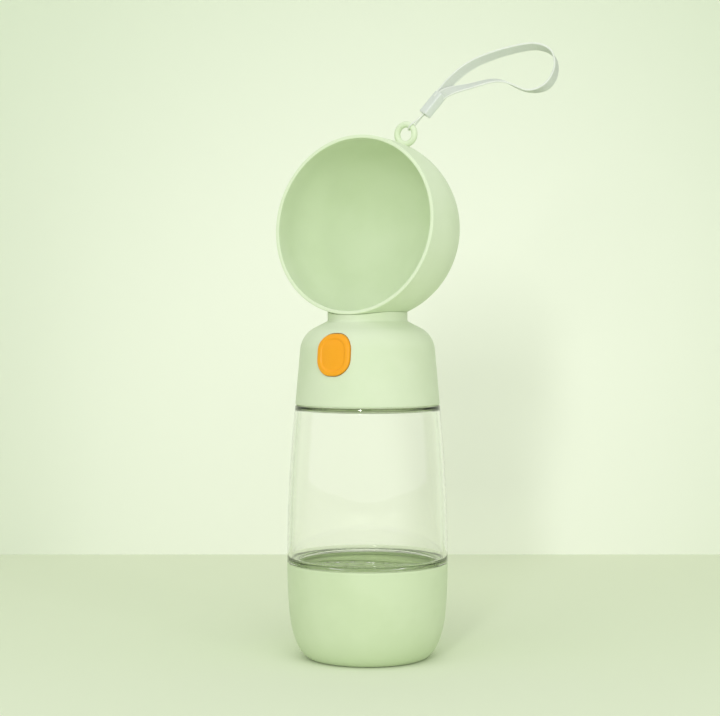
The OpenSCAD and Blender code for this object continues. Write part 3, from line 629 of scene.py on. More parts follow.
def loft(rings, closeEnds=True):
    # skin between rings of the same number of points, with fans at its two ends
    n = len(rings[0])
    verts = [p for ring in rings for p in ring]
    faces = []
    for i in range(len(rings) - 1):
        for k in range(n):
            faces.append((i * n + k, i * n + (k + 1) % n, (i + 1) * n + (k + 1) % n, (i + 1) * n + k))
    if closeEnds:
        for first, order in ((0, -1), ((len(rings) - 1) * n, 1)):
            verts.append(np.mean([np.array(verts[first + k], float) for k in range(n)], axis=0))
            mid = len(verts) - 1
            for k in range(n):
                pair = (first + k, first + (k + 1) % n)
                faces.append((mid, *(pair if order > 0 else pair[::-1])))
    return verts, faces


def joined(meshes):
    # several closed shells as one mesh
    bm = bmesh.new()
    for mesh in meshes:
        bm.from_mesh(mesh)
    whole = bpy.data.meshes.new("joined")
    bm.to_mesh(whole)
    bm.free()
    return whole


def cut(mesh, cutters):
    # exact difference with closed cutter meshes
    body = addObject("body", mesh)
    for cutter in cutters:
        tool = addObject("tool", cutter)
        modifier = body.modifiers.new("cut", "BOOLEAN")
        modifier.operation, modifier.solver, modifier.object = "DIFFERENCE", "EXACT", tool
        made = evaluatedMesh(body)
        body.modifiers.remove(modifier)
        body.data = made
        bpy.data.objects.remove(tool)
    made = body.data
    bpy.data.objects.remove(body)
    return made


def rod(centre, axis, radius, length, sides=48):
    # round bar from centre along axis
    axis = Vector(axis).normalized()
    side = axis.orthogonal().normalized()
    other = axis.cross(side)
    rings = []
    for t in (0, length):
        rings.append([Vector(centre) + axis * t + (side * u + other * v) * radius
                      for u, v in circle(sides)])
    mesh = meshOf(*loft(rings))
    tidyMesh(mesh)
    return mesh


def addPiece(name, mesh, finish, body, replaced, sharp=32, tidy=True):
    # the finished piece as an object that rides on its body
    if tidy:
        tidyMesh(mesh)
    mesh.name = name
    mesh.materials.clear()
    mesh.materials.append(materials[finish])
    mesh.polygons.foreach_set("use_smooth", [True] * len(mesh.polygons))
    mesh.set_sharp_from_angle(angle=rad(sharp))
    piece = addObject(name, mesh)
    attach(piece, body)
    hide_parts(replaced)
    print("piece", name, len(mesh.polygons), "faces")
    return piece


thread = {"lead": 8, "depth": 0.9, "foot": 1.8, "share": 0.55}


def raiseThreads(co, wall, side, low):
    # lifts two ridges out of a wall of that radius; side is 1 for outward and -1 for inward
    radius = np.hypot(co[:, 0], co[:, 1])
    angle = np.degrees(np.arctan2(co[:, 1], co[:, 0]))
    lift = np.zeros(len(co))
    for start in (0, 180):
        share = ((angle - start) % 360) / (360 * thread["share"])
        fade = np.clip(np.minimum(4 * share, 4 * (1 - share)), 0, 1)
        off = np.abs(co[:, 2] - low - thread["lead"] * thread["share"] * share)
        edge = np.clip((thread["foot"] / 2 - off) / (thread["foot"] / 4), 0, 1)
        lift = np.maximum(lift, fade * edge * edge * (3 - 2 * edge) * (share <= 1))
    lift *= np.abs(radius - wall) < 0.02
    grown = 1 + side * thread["depth"] * lift / np.maximum(radius, 1)
    co[:, 0] *= grown
    co[:, 1] *= grown
    return co


def denseRun(r, low, high, step=0.3):
    # many short steps up a straight wall, for the threads on it
    count = round(abs(high - low) / step)
    return [(r, low + (high - low) * i / count) for i in range(count + 1)]


cup = {
    "radius": 37.5, "height": 44.8, "wall": 2.2, "cornerHeight": 27.6, "cornerWidth": 11, "lean": 4.75,
    "top": 44.5, "recess": 35.4, "recessZ": 43.3, "bore": 34.6, "threadLow": 38.3, "edge": 0.45,
    "footRing": 5.0, "footRise": 0.35, "soft": 0.3, "insideTop": 36.5, "boreLow": 37.0, "boreHigh": 43.0,
    "recessEdge": 0.25, "recessCrease": 0.1, "boreEdge": 0.2,
}


def cupLine(inset, top):
    start = math.degrees(math.atan(tan(cup["lean"]) * cup["cornerHeight"] / cup["cornerWidth"]))
    startZ = cup["cornerHeight"] * (1 - sin(start))
    bend = tan(cup["lean"]) / (2 * (cup["height"] - startZ))
    middle = cup["radius"] - bend * (cup["height"] - startZ) ** 2 - cup["cornerWidth"] * cos(start)
    line = []
    for i in range(29):
        a = 90 - (90 - start) * i / 28
        n = Vector((cos(a) / cup["cornerWidth"], -sin(a) / cup["cornerHeight"])).normalized()
        line.append((middle + cup["cornerWidth"] * cos(a) - inset * n[0],
                     cup["cornerHeight"] * (1 - sin(a)) - inset * n[1]))
    for i in range(1, 25):
        z = startZ + (top - startZ) * i / 24
        line.append((cup["radius"] - bend * (cup["height"] - z) ** 2 - inset, z))
    return line


def makeCup():
    outside = cupLine(0, cup["top"])
    footR = outside[0][0]
    ringR = footR - cup["footRing"]
    inside = [p for p in cupLine(cup["wall"], 40) if p[1] < cup["insideTop"] and p[0] < cup["bore"]]
    line = softLine([(0, cup["footRise"]), (ringR - 2 * cup["soft"], cup["footRise"], cup["soft"]),
                     (ringR, 0, cup["soft"]), (footR, 0)] + outside[1:-1]
                    + [(outside[-1][0], cup["top"], cup["edge"]),
                       (cup["recess"], cup["top"], cup["recessEdge"]),
                       (cup["recess"], cup["recessZ"], cup["recessCrease"]),
                       (cup["bore"], cup["recessZ"], cup["boreEdge"])])
    line += denseRun(cup["bore"], cup["boreHigh"], cup["boreLow"])
    line += softLine([(cup["bore"], cup["boreLow"] - 0.1)] + inside[::-1] + [(0, cup["wall"])])
    mesh = turned(line, materials["cupGreenShaded"])
    setPositions(mesh, raiseThreads(positions(mesh), cup["bore"], -1, cup["threadLow"]))
    addPiece("foodCup", mesh, "cupGreenShaded", "cup", "base_cup")


makeCup()


bottle = {
    "foot": 44.8, "top": 118.05, "bow": 3.8, "tall": 73.55, "wall": 2, "slope": 2,
    "skirt": 33.4, "skirtIn": 31.6, "skirtLow": 33.8, "floor": 2.4, "floorRound": 4, "ledge": 1.6,
    "neck": 28.2, "neckIn": 26.0, "lip": 127.6, "shoulder": 1.2, "skirtThread": 36.3, "neckThread": 120.4,
    "edge": 0.5, "shoulderEdge": 0.7, "creaseEdge": 0.3, "skirtCrease": 0.25,
    "wallTopRound": 1.4, "wallFootRound": 1.2, "neckRound": 0.6, "ledgeRound": 0.8,
    "skirtEnds": (1.2, 1.5), "neckEnds": (0.5, 0.8), "wallEnds": 2.5,
}


def bottleSide(z):
    return cup["radius"] - bottle["bow"] * ((z - bottle["foot"]) / bottle["tall"]) ** 2


def makeBottle():
    b = bottle
    low, high = b["foot"], b["top"]
    floorZ = b["skirtLow"] + b["floor"]
    ledgeZ, neckInZ = low + b["ledge"], high - b["shoulder"]
    wallStart = ledgeZ + (bottleSide(ledgeZ) - b["wall"] - b["skirtIn"]) * tan(b["slope"])
    wallEnd = neckInZ - (bottleSide(neckInZ) - b["wall"] - b["neckIn"]) * tan(b["slope"])
    sideSteps = [low + (high - low) * i / 60 for i in range(1, 60)]
    innerTop, innerFoot = wallEnd - b["wallEnds"], wallStart + b["wallEnds"]
    innerSteps = [innerTop + (innerFoot - innerTop) * k / 50 for k in range(51)]
    runLow, runHigh = b["skirtLow"] + b["skirtEnds"][0], low - b["skirtEnds"][1]
    line = softLine([(0, b["skirtLow"]), (b["skirt"], b["skirtLow"], b["edge"]), (b["skirt"], runLow)])
    line += denseRun(b["skirt"], runLow + 0.1, runHigh - 0.1)
    line += softLine([(b["skirt"], runHigh), (b["skirt"], low, b["skirtCrease"]),
                      (bottleSide(low), low, b["creaseEdge"])]
                     + [(bottleSide(z), z) for z in sideSteps]
                     + [(bottleSide(high), high, b["shoulderEdge"]), (b["neck"], high, b["creaseEdge"]),
                        (b["neck"], high + b["neckEnds"][0])])
    runLow, runHigh = high + b["neckEnds"][0], b["lip"] - b["neckEnds"][1]
    line += denseRun(b["neck"], runLow + 0.1, runHigh - 0.1)
    line += softLine([(b["neck"], runHigh), (b["neck"], b["lip"], b["edge"]),
                      (b["neckIn"], b["lip"], b["edge"]), (b["neckIn"], neckInZ, b["neckRound"]),
                      (bottleSide(wallEnd) - b["wall"], wallEnd, b["wallTopRound"])]
                     + [(bottleSide(z) - b["wall"], z) for z in innerSteps]
                     + [(bottleSide(wallStart) - b["wall"], wallStart, b["wallFootRound"]),
                        (b["skirtIn"], ledgeZ, b["ledgeRound"]),
                        (b["skirtIn"], floorZ + b["floorRound"] + 0.1)]
                     + arcPoints(b["skirtIn"] - b["floorRound"], floorZ + b["floorRound"],
                                 b["floorRound"], 0, -90, 10)
                     + [(0, floorZ)])
    mesh = turned(line, materials["clearPlastic"])
    co = raiseThreads(positions(mesh), b["skirt"], 1, b["skirtThread"])
    setPositions(mesh, raiseThreads(co, b["neck"], 1, b["neckThread"]))
    addPiece("clearBottle", mesh, "clearPlastic", "bottle", "bottle")


makeBottle()


bowl = {
    "radius": 42.7, "y": 0.44, "z": 199.95, "tilt": 6.8, "front": 14.4, "lean": 4, "wall": 1.7, "sag": 0.03,
    "rim": 41.767, "padR": 7.8, "padLow": 155.7, "tubeR": 5.05, "tubeY": 6,
    "bossR": 2.6, "boreR": 1.125, "bossLow": 154.95, "boreTop": 159.1, "bossAt": 12.3,
    "bossTurns": (-90, 10, 170), "lipEdge": 0.42, "lipRise": 0.04, "neckMeets": (156.0, 166.0),
    "tubeCut": (150, 20), "edge": 0.2, "lipIn": 0.02,
}
bowlCentre = Vector((0, bowl["y"], bowl["z"]))
bowlAxis = Vector((0, -cos(bowl["tilt"]), sin(bowl["tilt"])))


def bossSpots():
    return [(bowl["bossAt"] * cos(a), bowl["bossAt"] * sin(a)) for a in bowl["bossTurns"]]


def bowlGap(x, y, z, grown):
    # how far a point lies outside the bowl's outer face grown by that much
    rel = Vector((x, y, z)) - bowlCentre
    h = rel.dot(bowlAxis)
    across = (rel - bowlAxis * h).length
    r = bowl["radius"] + grown
    if h < r * sin(bowl["lean"]):
        return rel.length - r
    return across - ((r - bowl["sag"]) / cos(bowl["lean"]) - h * tan(bowl["lean"]))


def neckTop(x, y):
    # height at which the neck's wall meets the bowl
    low, high = bowl["neckMeets"]
    for _ in range(24):
        z = (low + high) / 2
        if bowlGap(x, y, z, 0.1) > 0:
            low = z
        else:
            high = z
    return low


collar = {
    "foot": 118.35, "radius": 33.7, "lean": 5.1, "slope": 27, "round": 12.5, "wall": 1.8,
    "neck": 18.6, "neckZ": 157.1, "plate": (152.9, 154.9), "topRef": 161.0, "topFrom": 158.0,
    "screwClear": 1.3, "edge": 0.4, "neckCrease": 1.0, "soft": 0.25, "plateSoft": 0.3, "plateEdge": 0.2,
    "drill": (1, 4),
    "rail": {"at": 10.4, "half": 0.7, "low": 133, "high": 146, "back": -18, "wallAt": 136},
    "key": {"turns": (45, 135, 225, 315), "half": 1.5, "low": 118.95, "high": 122.95,
            "deep": 2.8, "wallAt": 121},
    "bite": 1.5,
}


def collarTurn(inset):
    # start of the shoulder's round, its middle and its radius
    c = collar
    slope = tan(c["lean"]) * tan(c["slope"])
    r = (c["radius"] - inset / cos(c["lean"]) - tan(c["lean"])
         * (c["neckZ"] + c["neck"] * tan(c["slope"]) - inset / cos(c["slope"]) - c["foot"])) / (1 - slope)
    z = c["neckZ"] - (r - c["neck"]) * tan(c["slope"]) - inset / cos(c["slope"])
    turn = 90 - c["slope"] - c["lean"]
    size = c["round"] - inset
    start = Vector((r, z)) - size * tan(turn / 2) * Vector((-sin(c["lean"]), cos(c["lean"])))
    return start, start - size * Vector((cos(c["lean"]), sin(c["lean"]))), size


def collarRadius(z, inset):
    c = collar
    start, mid, size = collarTurn(inset)
    if z <= start[1]:
        return c["radius"] - (z - c["foot"]) * tan(c["lean"]) - inset / cos(c["lean"])
    if z <= mid[1] + size * sin(90 - c["slope"]):
        return mid[0] + math.sqrt(max(0, size ** 2 - (z - mid[1]) ** 2))
    return c["neck"] + (c["neckZ"] - z - inset / cos(c["slope"])) / tan(c["slope"])


def collarOutline(inset, bottom, neckR):
    # side, shoulder round and slope, up to where the neck's wall starts
    c = collar
    start, mid, size = collarTurn(inset)
    side = c["radius"] - (bottom - c["foot"]) * tan(c["lean"]) - inset / cos(c["lean"])
    foot = c["neckZ"] - (neckR - c["neck"]) * tan(c["slope"]) - inset / cos(c["slope"])
    shoulder = arcPoints(mid[0], mid[1], size, c["lean"], 90 - c["slope"], 16)
    return [(side, bottom)] + shoulder + [(neckR, foot)]


button = {
    "wide": 17, "tall": 19.2, "round": 7.6, "z": 142.0, "proud": 0.9, "depth": 3.4, "gap": 0.25,
    "border": 2.1, "dish": 0.5, "edge": 0.6, "flange": 0.9, "flangeAt": 1.9, "clampY": -23.59,
    "armIn": 4.6, "armOut": 6.4, "springY": -27.29, "springZ": 134.3, "discR": 3.1, "discH": 3.0,
    "stubR": 2.0, "stub": 2.5, "armEdge": 0.25, "middle": -4.4, "slopeFoot": 0.75, "slopeWide": 0.9,
    "dishRing": -3.6, "sideRings": (0.3, 0.9, 1.5), "flangeRing": 2.6, "backRing": -1.5,
    "holeAlong": (-10, -45),
    "armLine": ((-27.0, 143.701), (-13.101, 143.701), (-8.601, 148.201), (-24.6, 148.201)),
}


def buttonOutline(grown, count=128):
    # rounded plate as evenly spaced points (x, z) along its edge
    w, h = button["wide"] / 2 + grown, button["tall"] / 2 + grown
    r = max(0.3, min(button["round"] + grown, w, h))
    pts = []
    for cx, cz, a in ((w - r, h - r, 0), (r - w, h - r, 90), (r - w, r - h, 180), (w - r, r - h, 270)):
        pts += [(cx + r * cos(a + 90 * k / 16), cz + r * sin(a + 90 * k / 16)) for k in range(17)]
    pts.append(pts[0])
    lengths = np.cumsum([0] + [math.dist(a, b) for a, b in zip(pts, pts[1:])])
    at = np.linspace(0, lengths[-1], count, endpoint=False)
    xs, zs = np.interp(at, lengths, [p[0] for p in pts]), np.interp(at, lengths, [p[1] for p in pts])
    return [(x, z + button["z"]) for x, z in zip(xs, zs)]


def makeCollar():
    c = collar
    outer = collarOutline(0, c["foot"], c["neck"])
    inner = collarOutline(c["wall"], c["foot"], c["neck"] - c["wall"])
    low, high = c["plate"]
    meetLow = c["neck"] + (c["neckZ"] - low - c["wall"] / cos(c["slope"])) / tan(c["slope"])
    meetHigh = c["neck"] + (c["neckZ"] - high - c["wall"] / cos(c["slope"])) / tan(c["slope"])
    neckIn = c["neck"] - c["wall"]
    line = softLine(
        [(0, low), (meetLow, low, c["plateSoft"])] + [p for p in inner[::-1] if p[1] < low - 0.4]
        + [(*outer[0], c["edge"])] + outer[1:-1]
        + [(*outer[-1], c["neckCrease"]), (c["neck"], c["topRef"], c["soft"]),
           (neckIn, c["topRef"], c["soft"]), (neckIn, inner[-1][1], c["plateSoft"]),
           (meetHigh, high, c["plateEdge"]), (0, high)])
    mesh = turned(line, materials["collarGreen"])
    co = positions(mesh)
    tall = c["topRef"] - c["topFrom"]
    for i in np.nonzero(co[:, 2] > c["topFrom"])[0]:
        top = neckTop(co[i, 0], co[i, 1])
        co[i, 2] = c["topFrom"] + (co[i, 2] - c["topFrom"]) * (top - c["topFrom"]) / tall
    setPositions(mesh, co)
    tidyMesh(mesh)
    hole = [[(x, y, z) for x, z in buttonOutline(button["gap"], 96)] for y in button["holeAlong"]]
    under, deep = c["drill"]
    tools = [meshOf(*loft(hole)), rod((0, bowl["tubeY"], low - under), axisZ, bowl["tubeR"], deep)]
    for x, y in bossSpots():
        tools.append(rod((x, y, low - under), axisZ, c["screwClear"], deep, 24))
    tidyMesh(tools[0])
    mesh = cut(mesh, tools)
    extra = []
    rail, key = c["rail"], c["key"]
    front = collarRadius(rail["wallAt"], c["bite"])
    for side in (-1, 1):
        # rails beside the button
        x = side * rail["at"]
        extra.append(boxMesh((x - rail["half"], -math.sqrt(front ** 2 - x * x), rail["low"]),
                             (x + rail["half"], rail["back"], rail["high"])))
    for a in key["turns"]:
        # keys for the inner cap
        block = boxMesh((collarRadius(key["wallAt"], key["deep"]), -key["half"], key["low"]),
                        (collarRadius(key["wallAt"], c["bite"]), key["half"], key["high"]))
        block.transform(Matrix.Rotation(rad(a), 4, "Z"))
        extra.append(block)
    whole = joined([mesh] + extra)
    addPiece("collarShell", whole, "collarGreen", "head", "collar")


def boxMesh(low, high, edge=0.2):
    # small block with bevelled edges
    bm = bmesh.new()
    bmesh.ops.create_cube(bm, size=1)
    size, mid = Vector(high) - Vector(low), (Vector(high) + Vector(low)) / 2
    for v in bm.verts:
        v.co = Vector((v.co[i] * size[i] + mid[i] for i in range(3))) * mm
    bmesh.ops.bevel(bm, geom=bm.edges[:], offset=edge * mm, segments=2, affect="EDGES", profile=0.5)
    mesh = bpy.data.meshes.new("box")
    bm.to_mesh(mesh)
    bm.free()
    return mesh


makeCollar()


def makeButton():
    b = button

    def front(x, z, proud):
        r = collarRadius(z, -proud)
        return -math.sqrt(max(0, r * r - x * x))

    def ringAt(grown, proud, shrink=1.0):
        ring = []
        for x, z in buttonOutline(grown):
            x, z = x * shrink, b["z"] + (z - b["z"]) * shrink
            ring.append((x, min(front(x, z, proud), b["clampY"]), z))
        return ring

    crest, dish = b["proud"], b["proud"] - b["dish"]
    rings = [ringAt(b["middle"], dish, s) for s in (0.12, 0.3, 0.5, 0.7, 0.86, 1.0)]
    foot = -b["border"] - b["slopeFoot"]
    rings += [ringAt(b["dishRing"], dish), ringAt(foot, dish)]
    for t in (0.2, 0.4, 0.6, 0.8, 1.0):
        rings.append(ringAt(foot + b["slopeWide"] * t, dish + b["dish"] * t * t * (3 - 2 * t)))
    rings.append(ringAt(-(b["border"] + b["edge"]) / 2 + 0.05, crest))
    for k in range(7):
        a = 90 * k / 6
        rings.append(ringAt(-b["edge"] * (1 - sin(a)), crest - b["edge"] * (1 - cos(a))))
    rings += [ringAt(0, -p) for p in (*b["sideRings"], b["flangeAt"] - 0.05)]
    rings += [ringAt(b["flange"] * t, -b["flangeAt"]) for t in (0.1, 0.5, 0.93)]
    rings += [ringAt(b["flange"], -p) for p in (b["flangeAt"] + 0.08, b["flangeRing"], b["depth"] - 0.1)]
    rings += [ringAt(g, -b["depth"]) for g in (b["flange"] - 0.1, b["backRing"], b["middle"])]
    rings += [ringAt(b["middle"], -b["depth"], s) for s in (0.8, 0.5, 0.25)]
    parts = [meshOf(*loft(rings))]
    arm = softLine([(y, z, b["armEdge"]) for y, z in b["armLine"]], 2, 3, True)[:-1]
    for side in (-1, 1):
        ends = [[(side * x, y, z) for y, z in arm] for x in (b["armIn"], b["armOut"])]
        parts.append(meshOf(*loft(ends)))
    parts.append(rod((0, b["springY"] - b["discH"], b["springZ"]), axisY, b["discR"], b["discH"]))
    parts.append(rod((0, b["springY"] - 1.5, b["springZ"]), axisY, b["stubR"], b["stub"] + 1.5, 32))
    whole = joined(parts)
    addPiece("pushButton", whole, "buttonOrange", "button", "button", sharp=40)


makeButton()


eyelet = {
    "at": (17.6065, 4.9, 243.5276), "radius": 4.5, "thick": 2.9, "turn": 22,
    "stem": (2.3, 1.15), "flare": (3.0, 1.35), "sink": 0.75, "stemTall": 2.35, "sag": 0.0125,
    "flarePower": 2.2,
}


def makeEyelet():
    # ring across Y, with a foot that flares into the bowl
    e = eyelet
    centre = Vector(e["at"])
    rings = []
    for x, z in circle(64):
        out = Vector((x, 0, z))
        rings.append([centre + out * (e["radius"] + e["thick"] / 2 * u) + axisY * (e["thick"] / 2 * v)
                      for u, v in circle(24)])
    ring = meshOf(*loft(rings + [rings[0]], closeEnds=False))
    up = Vector((sin(e["turn"]), 0, cos(e["turn"])))
    side = Vector((cos(e["turn"]), 0, -sin(e["turn"])))
    base = centre - up * (e["radius"] + e["thick"] / 2)
    foot = []
    for i in range(13):
        t = i / 12
        flare = (1 - t) ** e["flarePower"]
        half, deep = (e["stem"][k] + e["flare"][k] * flare for k in (0, 1))
        level = base + up * (e["stemTall"] * t - e["sink"])
        foot.append([level + side * (half * u) + axisY * (deep * v)
                     - up * (e["sag"] * (half * u) ** 2 * (1 - t)) for u, v in circle(32)])
    return [ring, meshOf(*loft(foot))]


def makeBowl():
    b = bowl
    lip = b["wall"] / 2
    r, inR = b["radius"], b["radius"] - b["wall"]
    outside = [(r * cos(a), r * sin(a)) for a in np.linspace(-90, b["lean"], 64)]
    rim, rimIn = b["rim"], b["rim"] - b["wall"]
    start, end = outside[-1], (rim - b["lipIn"], b["front"] - lip)
    lipTop = b["front"] + b["lipRise"]
    lipLine = softLine([(rim, b["front"] - lip), (rim - b["lipIn"], lipTop, b["lipEdge"]),
                        (rimIn - b["lipIn"], lipTop, b["lipEdge"]), (rimIn, b["front"] - lip)], 0.4, 6)
    inside = [(inR * cos(a), inR * sin(a)) for a in np.linspace(b["lean"], -90, 62)]
    cone = [Vector(start).lerp(Vector(end), t) for t in (0.25, 0.5, 0.75)]
    line = softLine([(0, -r)] + outside[1:] + cone + lipLine + inside[:-1] + [(0, -inR)])
    mesh = turned(line, materials["bowlGreenLit"])
    tilt = Matrix.Translation(bowlCentre * mm) @ Matrix.Rotation(rad(90 - b["tilt"]), 4, "X")
    mesh.transform(tilt)
    tidyMesh(mesh)
    cutLow, cutTall = b["tubeCut"]
    mesh = cut(mesh, [rod((0, b["tubeY"], cutLow), axisZ, b["tubeR"], cutTall)])

    def wallZ(x, y):
        # middle of the bowl's wall
        return b["z"] - math.sqrt((b["radius"] - lip) ** 2 - x * x - (y - b["y"]) ** 2)

    def tubeWall(x, y, outR, boreR, low, boreTop, sides):
        # upright tube whose top follows the middle of the bowl's wall
        def level(radius, z):
            spots = [(x + radius * u, y + radius * v) for u, v in circle(sides)]
            return [(*spot, z if z is not None else wallZ(*spot)) for spot in spots]
        edge, inner = b["edge"], b["edge"] * 0.75
        rings = [level(boreR, boreTop), level(boreR, low + inner), level(boreR + inner, low),
                 level(outR - edge, low), level(outR, low + edge), level(outR, None)]
        if boreTop is None:
            return meshOf(*loft(rings + [rings[0]], closeEnds=False))
        return meshOf(*loft(rings))

    parts = [mesh, tubeWall(0, b["tubeY"], b["padR"], b["tubeR"], b["padLow"], None, 64)]
    for x, y in bossSpots():
        parts.append(tubeWall(x, y, b["bossR"], b["boreR"], b["bossLow"], b["boreTop"], 32))
    parts += makeEyelet()
    for part in parts[1:]:
        tidyMesh(part)
    addPiece("drinkingBowl", joined(parts), "bowlGreenLit", "head", "bowl")


makeBowl()


strap = {
    "turn": 30, "width": 4.6, "thick": 0.9, "edge": 0.36,
    "points": [
        (14.2, 16.2, 1, 0), (17, 19.8, 1, 8), (20.5, 24, 0.7, 18), (26, 29, 0.4, 22),
        (32, 32.8, 0.2, 28), (38.8, 35.7, 0, 35), (45.2, 37.8, 0, 40), (51.6, 39.4, 0, 43),
        (56.8, 40.3, 0, 47), (61, 40.3, 0, 56), (64.5, 39.3, 0, 68), (67.2, 37.5, 0, 86),
        (68.8, 34.8, 0, 108), (69.4, 31.4, 0, 120), (68.8, 27.8, 0, 132), (67.3, 24.6, 0, 142),
        (64.8, 22, 0, 136), (61.4, 20.5, 0, 116), (57.8, 20, 0, 98), (54.6, 20.4, 0, 90),
        (51.4, 21.7, 0, 88), (48.2, 23.2, 0, 84), (45.2, 24.3, 0, 78), (42, 24.7, 0, 70),
        (38.6, 24.4, -0.2, 64), (34.4, 23.4, -0.4, 60), (29.4, 22, -0.7, 54), (24.6, 20.9, -1, 44),
        (20.6, 19.8, -1.2, 28), (17.4, 18.4, -1.2, 8), (14.2, 15.8, -1, 0),
    ],
}
cord = {
    "diameter": 0.8, "strands": 3, "strandDeep": 0.06, "twist": 130, "around": 2.6,
    "points": [
        (9.6, 5.7, 12.5), (8.7, 5.1, 11.2), (7.7, 4.5, 9.8), (6.5, 3.7, 8.1), (5, 2.9, 6), (3.7, 2.3, 4.3),
        (2.6, 1.8, 3), (1.8, 1, 2.2), (1.6, 0.1, 1.9), (1.8, -0.9, 2.1), (2.4, -1.6, 2.7),
        (3.2, -1.9, 3.6), (4.1, -1.4, 4.6), (4.9, -0.3, 5.5), (5.8, 1.1, 6.7), (6.8, 2.2, 8.1),
        (7.7, 3, 9.3), (8.7, 3.6, 10.7), (9.7, 4.2, 12.2),
    ],
}
bead = {
    "at": (8.6, 0, 9), "rise": 51, "twist": 35, "wide": 5.6, "deep": 4.2, "round": 0.7, "long": 12.2,
    "end": 0.45, "mouth": ((1.2, 0.5), (1.05, 0.12), (0.85, 0.0)), "leastRound": 0.15,
}
eye = Vector(eyelet["at"])
strapTurn = Matrix.Rotation(rad(strap["turn"]), 3, "Z")


def ringOfCorners(halfWide, halfDeep, r, steps):
    # rounded rectangle, anticlockwise
    w, d = halfWide - r, halfDeep - r
    line = []
    for x, y, a in ((w, d, 0), (-w, d, 90), (-w, -d, 180), (w, -d, 270)):
        line += arcPoints(x, y, r, a, a + 90, steps)
    return line


def lineLength(line):
    return sum((b - a).length for a, b in zip(line, line[1:]))


def swept(line, ringAt, middle):
    # skin of rings along a line, with a UV for each vertex in millimetres: across the form and along it
    rings, across, along, gone = [], [], [], 0
    for i, p in enumerate(line):
        before, after = line[max(i - 1, 0)], line[min(i + 1, len(line) - 1)]
        gone += (p - before).length
        ring, places = ringAt(i, p, (after - before).normalized(), gone)
        rings.append(ring)
        across += places
        along += [gone] * len(ring)
    mesh = meshOf(*loft(rings))
    across += [middle, middle]
    along += [0, gone]
    layer = mesh.uv_layers.new(name="UVMap")
    for loop in mesh.loops:
        layer.data[loop.index].uv = (across[loop.vertex_index], along[loop.vertex_index])
    return mesh


def makeCord():
    line = [eye + Vector(p) for p in curvePoints(cord["points"], 6)]
    sides = 14

    def ringAt(i, p, t, gone):
        # twisted strands
        u = (axisX if abs(t.z) > 0.9 else axisZ).cross(t).normalized()
        v = t.cross(u)
        ring = []
        for k in range(sides):
            a = 360 * k / sides
            strand = abs(cos(cord["strands"] / 2 * (a + gone * cord["twist"])))
            bulge = cord["diameter"] / 2 * (1 - cord["strandDeep"] * (1 - strand))
            ring.append(p + (u * cos(a) + v * sin(a)) * bulge)
        return ring, [cord["around"] * k / sides for k in range(sides)]

    mesh = swept(line, ringAt, cord["around"] / 2)
    piece = addPiece("hangCord", mesh, "cordThread", "strap", "hang_cord", tidy=False)
    return piece, line


def makeStrap():
    pts = curvePoints(strap["points"], 6)
    line = [Vector((p[0], p[2], p[1])) for p in pts]
    half, thick, edge = strap["width"] / 2, strap["thick"] / 2, strap["edge"]
    section = ringOfCorners(half, thick, edge, 3)
    flatTop = [(half - edge - (2 * half - 2 * edge) * k / 5, thick) for k in range(1, 5)]
    flatLow = [(-p[0], -p[1]) for p in flatTop]
    section = section[:4] + flatTop + section[4:12] + flatLow + section[12:]

    def ringAt(i, p, t, gone):
        flat = axisY.cross(t).normalized()
        deep = t.cross(flat)
        w = flat * cos(pts[i][3]) + deep * sin(pts[i][3])
        h = t.cross(w)
        ring = [eye + strapTurn @ (p + w * s[0] + h * s[1]) for s in section]
        return ring, [s[0] + half for s in section]

    mesh = swept(line, ringAt, half)
    piece = addPiece("wristStrap", mesh, "webbing", "strap", "wrist_strap",
                     sharp=60, tidy=False)
    return piece, [eye + strapTurn @ p for p in line]


def makeBead():
    # rounded block along the strap, with soft ends and a mouth where the webbing goes in
    b = bead
    lean, twist = Matrix.Rotation(rad(90 - b["rise"]), 3, "Y"), Matrix.Rotation(rad(b["twist"]), 3, "Z")
    turn = strapTurn @ lean @ twist
    foot = eye + strapTurn @ Vector(b["at"])

    def outlineAt(inset, z):
        r = max(b["leastRound"], b["round"] - inset * 0.5)
        return [(x, y, z) for x, y in ringOfCorners(b["deep"] / 2 - inset, b["wide"] / 2 - inset, r, 5)]

    edge = [(b["end"] * (1 - sin(90 * k / 5)), b["end"] * (1 - cos(90 * k / 5))) for k in range(6)]
    levels = list(b["mouth"]) + edge + [(0.0, b["long"] * t) for t in (0.2, 0.4, 0.6, 0.8)]
    levels += [(inset, b["long"] - z) for inset, z in edge[::-1] + list(b["mouth"])[::-1]]
    mesh = meshOf(*loft([outlineAt(inset, z) for inset, z in levels]))
    mesh.transform(Matrix.Translation(foot * mm) @ turn.to_4x4())
    return addPiece("strapBead", mesh, "beadPlastic", "strap", "strap_bead")


strapBead = makeBead()
hangCord, cordLine = makeCord()
wristStrap, strapLine = makeStrap()
lineLength(cordLine) * mm
cord["diameter"] * mm
[tuple(p * mm) for p in cordLine]
tuple(strapLine[0] * mm)
lineLength(strapLine) * mm
strap["width"] * mm
[tuple(p * mm) for p in strapLine]
print("cord", round(lineLength(cordLine), 2), "mm, strap", round(lineLength(strapLine), 2), "mm")


screw = {
    "shank": 1.1, "root": 0.946, "head": 2.1, "headTall": 1.4, "headRound": 0.7, "pitch": 0.8,
    "cross": 0.5, "crossHalf": 1.25, "crossDeep": 0.7, "lidLong": 6.4, "bowlLong": 6.0,
    "headEdge": 0.15, "threadEnds": (0.3, 1.2), "ridge": (0.35, 0.7),
    "tip": ((0.84, 0.8), (0.3, 0.05)), "slotEdge": 0.06, "slotFoot": -3, "firstTurn": 23, "nextTurn": 67,
}


